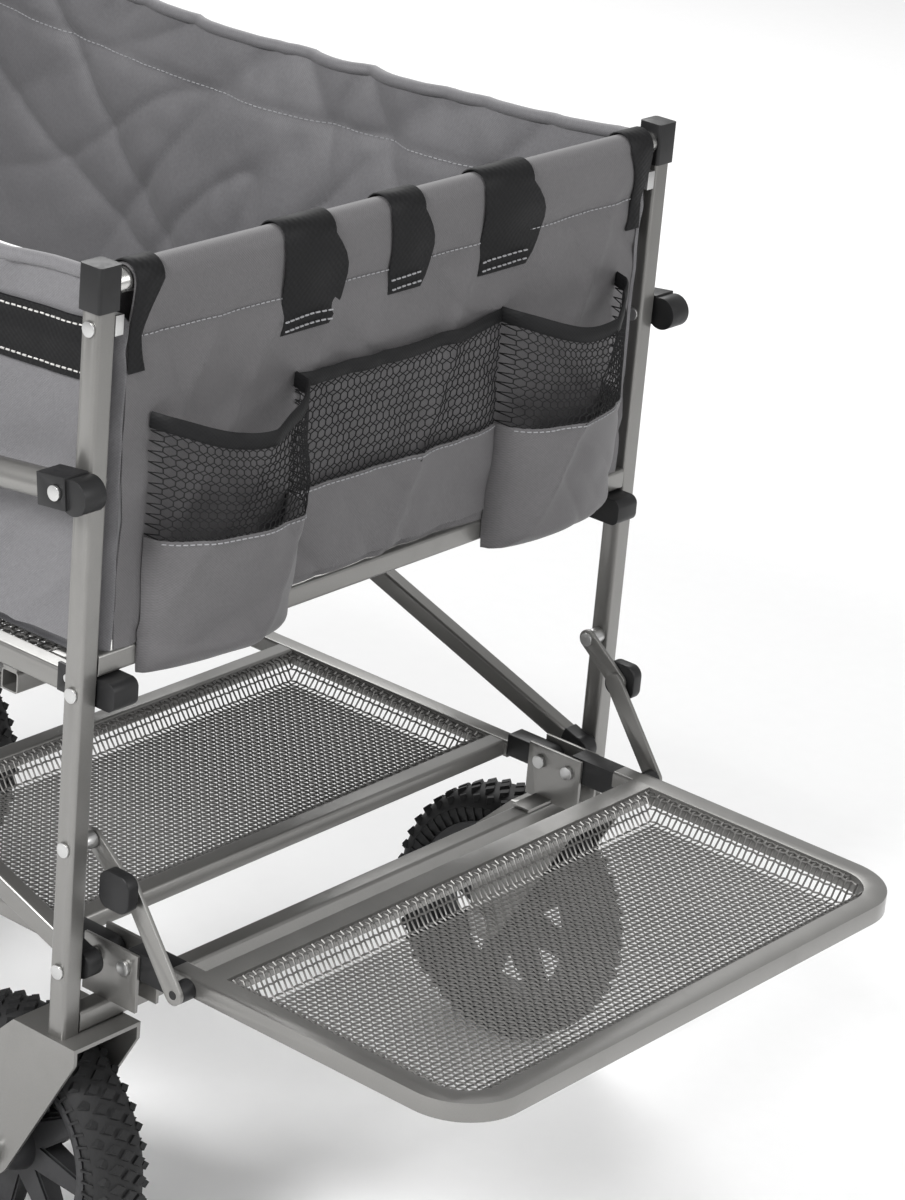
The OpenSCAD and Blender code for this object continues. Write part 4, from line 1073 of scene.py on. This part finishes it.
def wall_point(side, u, v):
    """u runs from the rear posts to the front ones, v from the foot to the top hem."""
    top = wall_top(u)
    z = WALL_LO.z + (top - WALL_LO.z) * v
    # the ends turn in to meet the end panels, and stop short of the top rails
    high = smoothstep((z - (RAIL_Z - 26 * MM)) / (12 * MM))
    rear, front = WALL_REAR - 17 * MM * high, WALL_FRONT + 17 * MM * high
    x = rear + (front - rear) * u
    turn = math.exp(-min(rear - x, x - front) / (7 * MM)) * (1 - high)
    ends = math.sin(math.pi * u)
    seam = math.exp(-((top - z - WALL_SEAM) / (7 * MM)) ** 2)
    billow = -9 * MM * math.sin(math.pi * v) ** 0.8 * ends ** 0.5
    folds = 4.2 * wave(x, side, z * 0.8, 9, 2.2) + 2.4 * wave(x + z, side, z - x, 17, 7.7)
    creases = 1.4 * wave(x * 1.5, side, z, 38, 4.1)
    creases += 8.0 * crease(x + 0.7 * z, 0.4 * z, 8.5, 2.7) + 6.0 * crease(x - 0.9 * z, 0.5 * z, 13, 9.1)
    loose = 0.25 + 0.75 * ends ** 0.5
    y = WALL_MID + billow + (folds + creases) * MM * loose + 2.2 * MM * seam
    y -= (WALL_MID - PANEL_HALF + 0.5 * MM) * turn
    return Vector((x, side * y, z))


def make_wall(side, label):
    node = f"side_wall_{label}"
    cloth = sheet_mesh(f"{label}_wall_cloth", lambda u, v: wall_point(side, u, v), 170, 70, WALL_T)
    hem_path = [wall_point(side, u, 1.0) for u in np.linspace(0, 1, 80)]
    hem = many_sweeps(f"{label}_wall_hem", [hem_path], circle_section(4.6 * MM, 10), Vector((0, 0, 1)))

    def on_wall(u, v, proud):
        point = wall_point(side, u, v)
        return point + Vector((0, side * proud, 0))

    webbing = sheet_mesh(f"{label}_wall_webbing",
                         lambda u, v: on_wall(0.012 + 0.976 * u, 0.715 + 0.17 * v, 3.0 * MM),
                         170, 12, WEB_T)
    for obj, material in ((cloth, WALL_CLOTH_PAINTED_LIGHT), (hem, WALL_CLOTH_PAINTED_LIGHT), (webbing, WALL_WEBBING)):
        finish_piece(obj, material, "rear_frame", "grey_fabric",
                     [node] if obj is cloth else (), angle=60)
    rows = []
    for v in (0.735, 0.865):
        rows.append([on_wall(u, v, 4.2 * MM) for u in np.linspace(0.02, 0.98, 120)])
    light = stitch_row(f"{label}_wall_band_stitches", rows, "rear_frame")
    seam_rows = []
    for proud in (1.5 * MM, -1.5 * MM):
        seam_rows.append([on_wall(u, 1 - WALL_SEAM / (wall_top(u) - WALL_LO.z), proud)
                          for u in np.linspace(0.01, 0.99, 120)])
    grey = stitch_row(f"{label}_wall_seam_stitches", seam_rows, "rear_frame", DARK_THREAD, 4.6, 3.2, 0.8)
    for obj in (cloth, hem, webbing, light, grey):
        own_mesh(obj)


# ---------------------------------------------------------------- floor pads
def make_pad(node):
    """Thin stuffed floor pad: a stitched slab, swollen as cloth and then quilted."""
    low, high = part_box(node)
    shrink = 1.5 * MM
    low, high = low + Vector((shrink, shrink, 0.4 * MM)), high - Vector((shrink, shrink, 1.6 * MM))
    columns, rows = 40, 60

    def corner(i, j, z):
        return (low.x + (high.x - low.x) * i / columns, low.y + (high.y - low.y) * j / rows, z)

    verts = [corner(i, j, z) for z in (low.z, high.z) for j in range(rows + 1) for i in range(columns + 1)]
    layer = (rows + 1) * (columns + 1)
    faces = []
    for j in range(rows):
        for i in range(columns):
            a = j * (columns + 1) + i
            faces.append((a, a + columns + 1, a + columns + 2, a + 1))
            faces.append((a + layer, a + layer + 1, a + layer + columns + 2, a + layer + columns + 1))
    rim = ([i for i in range(columns)] + [columns + j * (columns + 1) for j in range(rows)]
           + [rows * (columns + 1) + i for i in range(columns, 0, -1)]
           + [j * (columns + 1) for j in range(rows, 0, -1)])
    for k, a in enumerate(rim):
        b = rim[(k + 1) % len(rim)]
        faces.append((a, b, b + layer, a + layer))
    obj = mesh_object(node + "_quilted", verts, faces)
    rest = np.array([v.co for v in obj.data.vertices])
    cloth = obj.modifiers.new("swell", "CLOTH")
    cloth.settings.use_pressure = True
    cloth.settings.uniform_pressure_force = 2.5
    cloth.settings.effector_weights.gravity = 0
    cloth.settings.quality = 4
    cloth.point_cache.frame_start = 1
    cloth.point_cache.frame_end = 12
    for step in range(1, 13):
        bpy.context.scene.frame_set(step)
    obj = plain_mesh(obj)
    bpy.context.scene.frame_set(1)
    co = np.array([v.co for v in obj.data.vertices])
    limit = np.array([1.0, 1.0, 1.4]) * MM
    co = rest + np.clip(co - rest, -limit, limit)
    channel = 60 * MM
    for k, point in enumerate(co):
        groove = 0.9 * MM * math.exp(-((((point[1] - low.y) % channel) - channel / 2) / (3 * MM)) ** 2)
        point[2] += -groove if k >= layer else 0.0
        point[2] = max(point[2], low.z - 0.3 * MM)
    obj.data.vertices.foreach_set("co", co.astype(np.float32).ravel())
    smooth = obj.modifiers.new("smooth", "SUBSURF")
    smooth.levels = 1
    smooth.render_levels = 1
    obj = plain_mesh(obj)
    finish_piece(obj, MATERIALS["floor_fabric"], BODY_OF[node], "floor_fabric", [node], angle=60)


# ---------------------------------------------------------------- everything
make_camera()
make_studio()
make_hard_parts()
make_pans()
for tyre_node, rim_node in WHEELS.values():
    make_wheel(tyre_node, rim_node)
make_end(REAR_X, 1, "rear_frame", "rear_panel", "rear")
make_end(FRONT_X, -1, "front_frame", "front_panel", "front")
make_cup(-1, "left")
make_cup(1, "right")
make_flat_pocket()
make_wall(-1, "left")
make_wall(1, "right")
make_pad("rear_floor_pad")
make_pad("front_floor_pad")
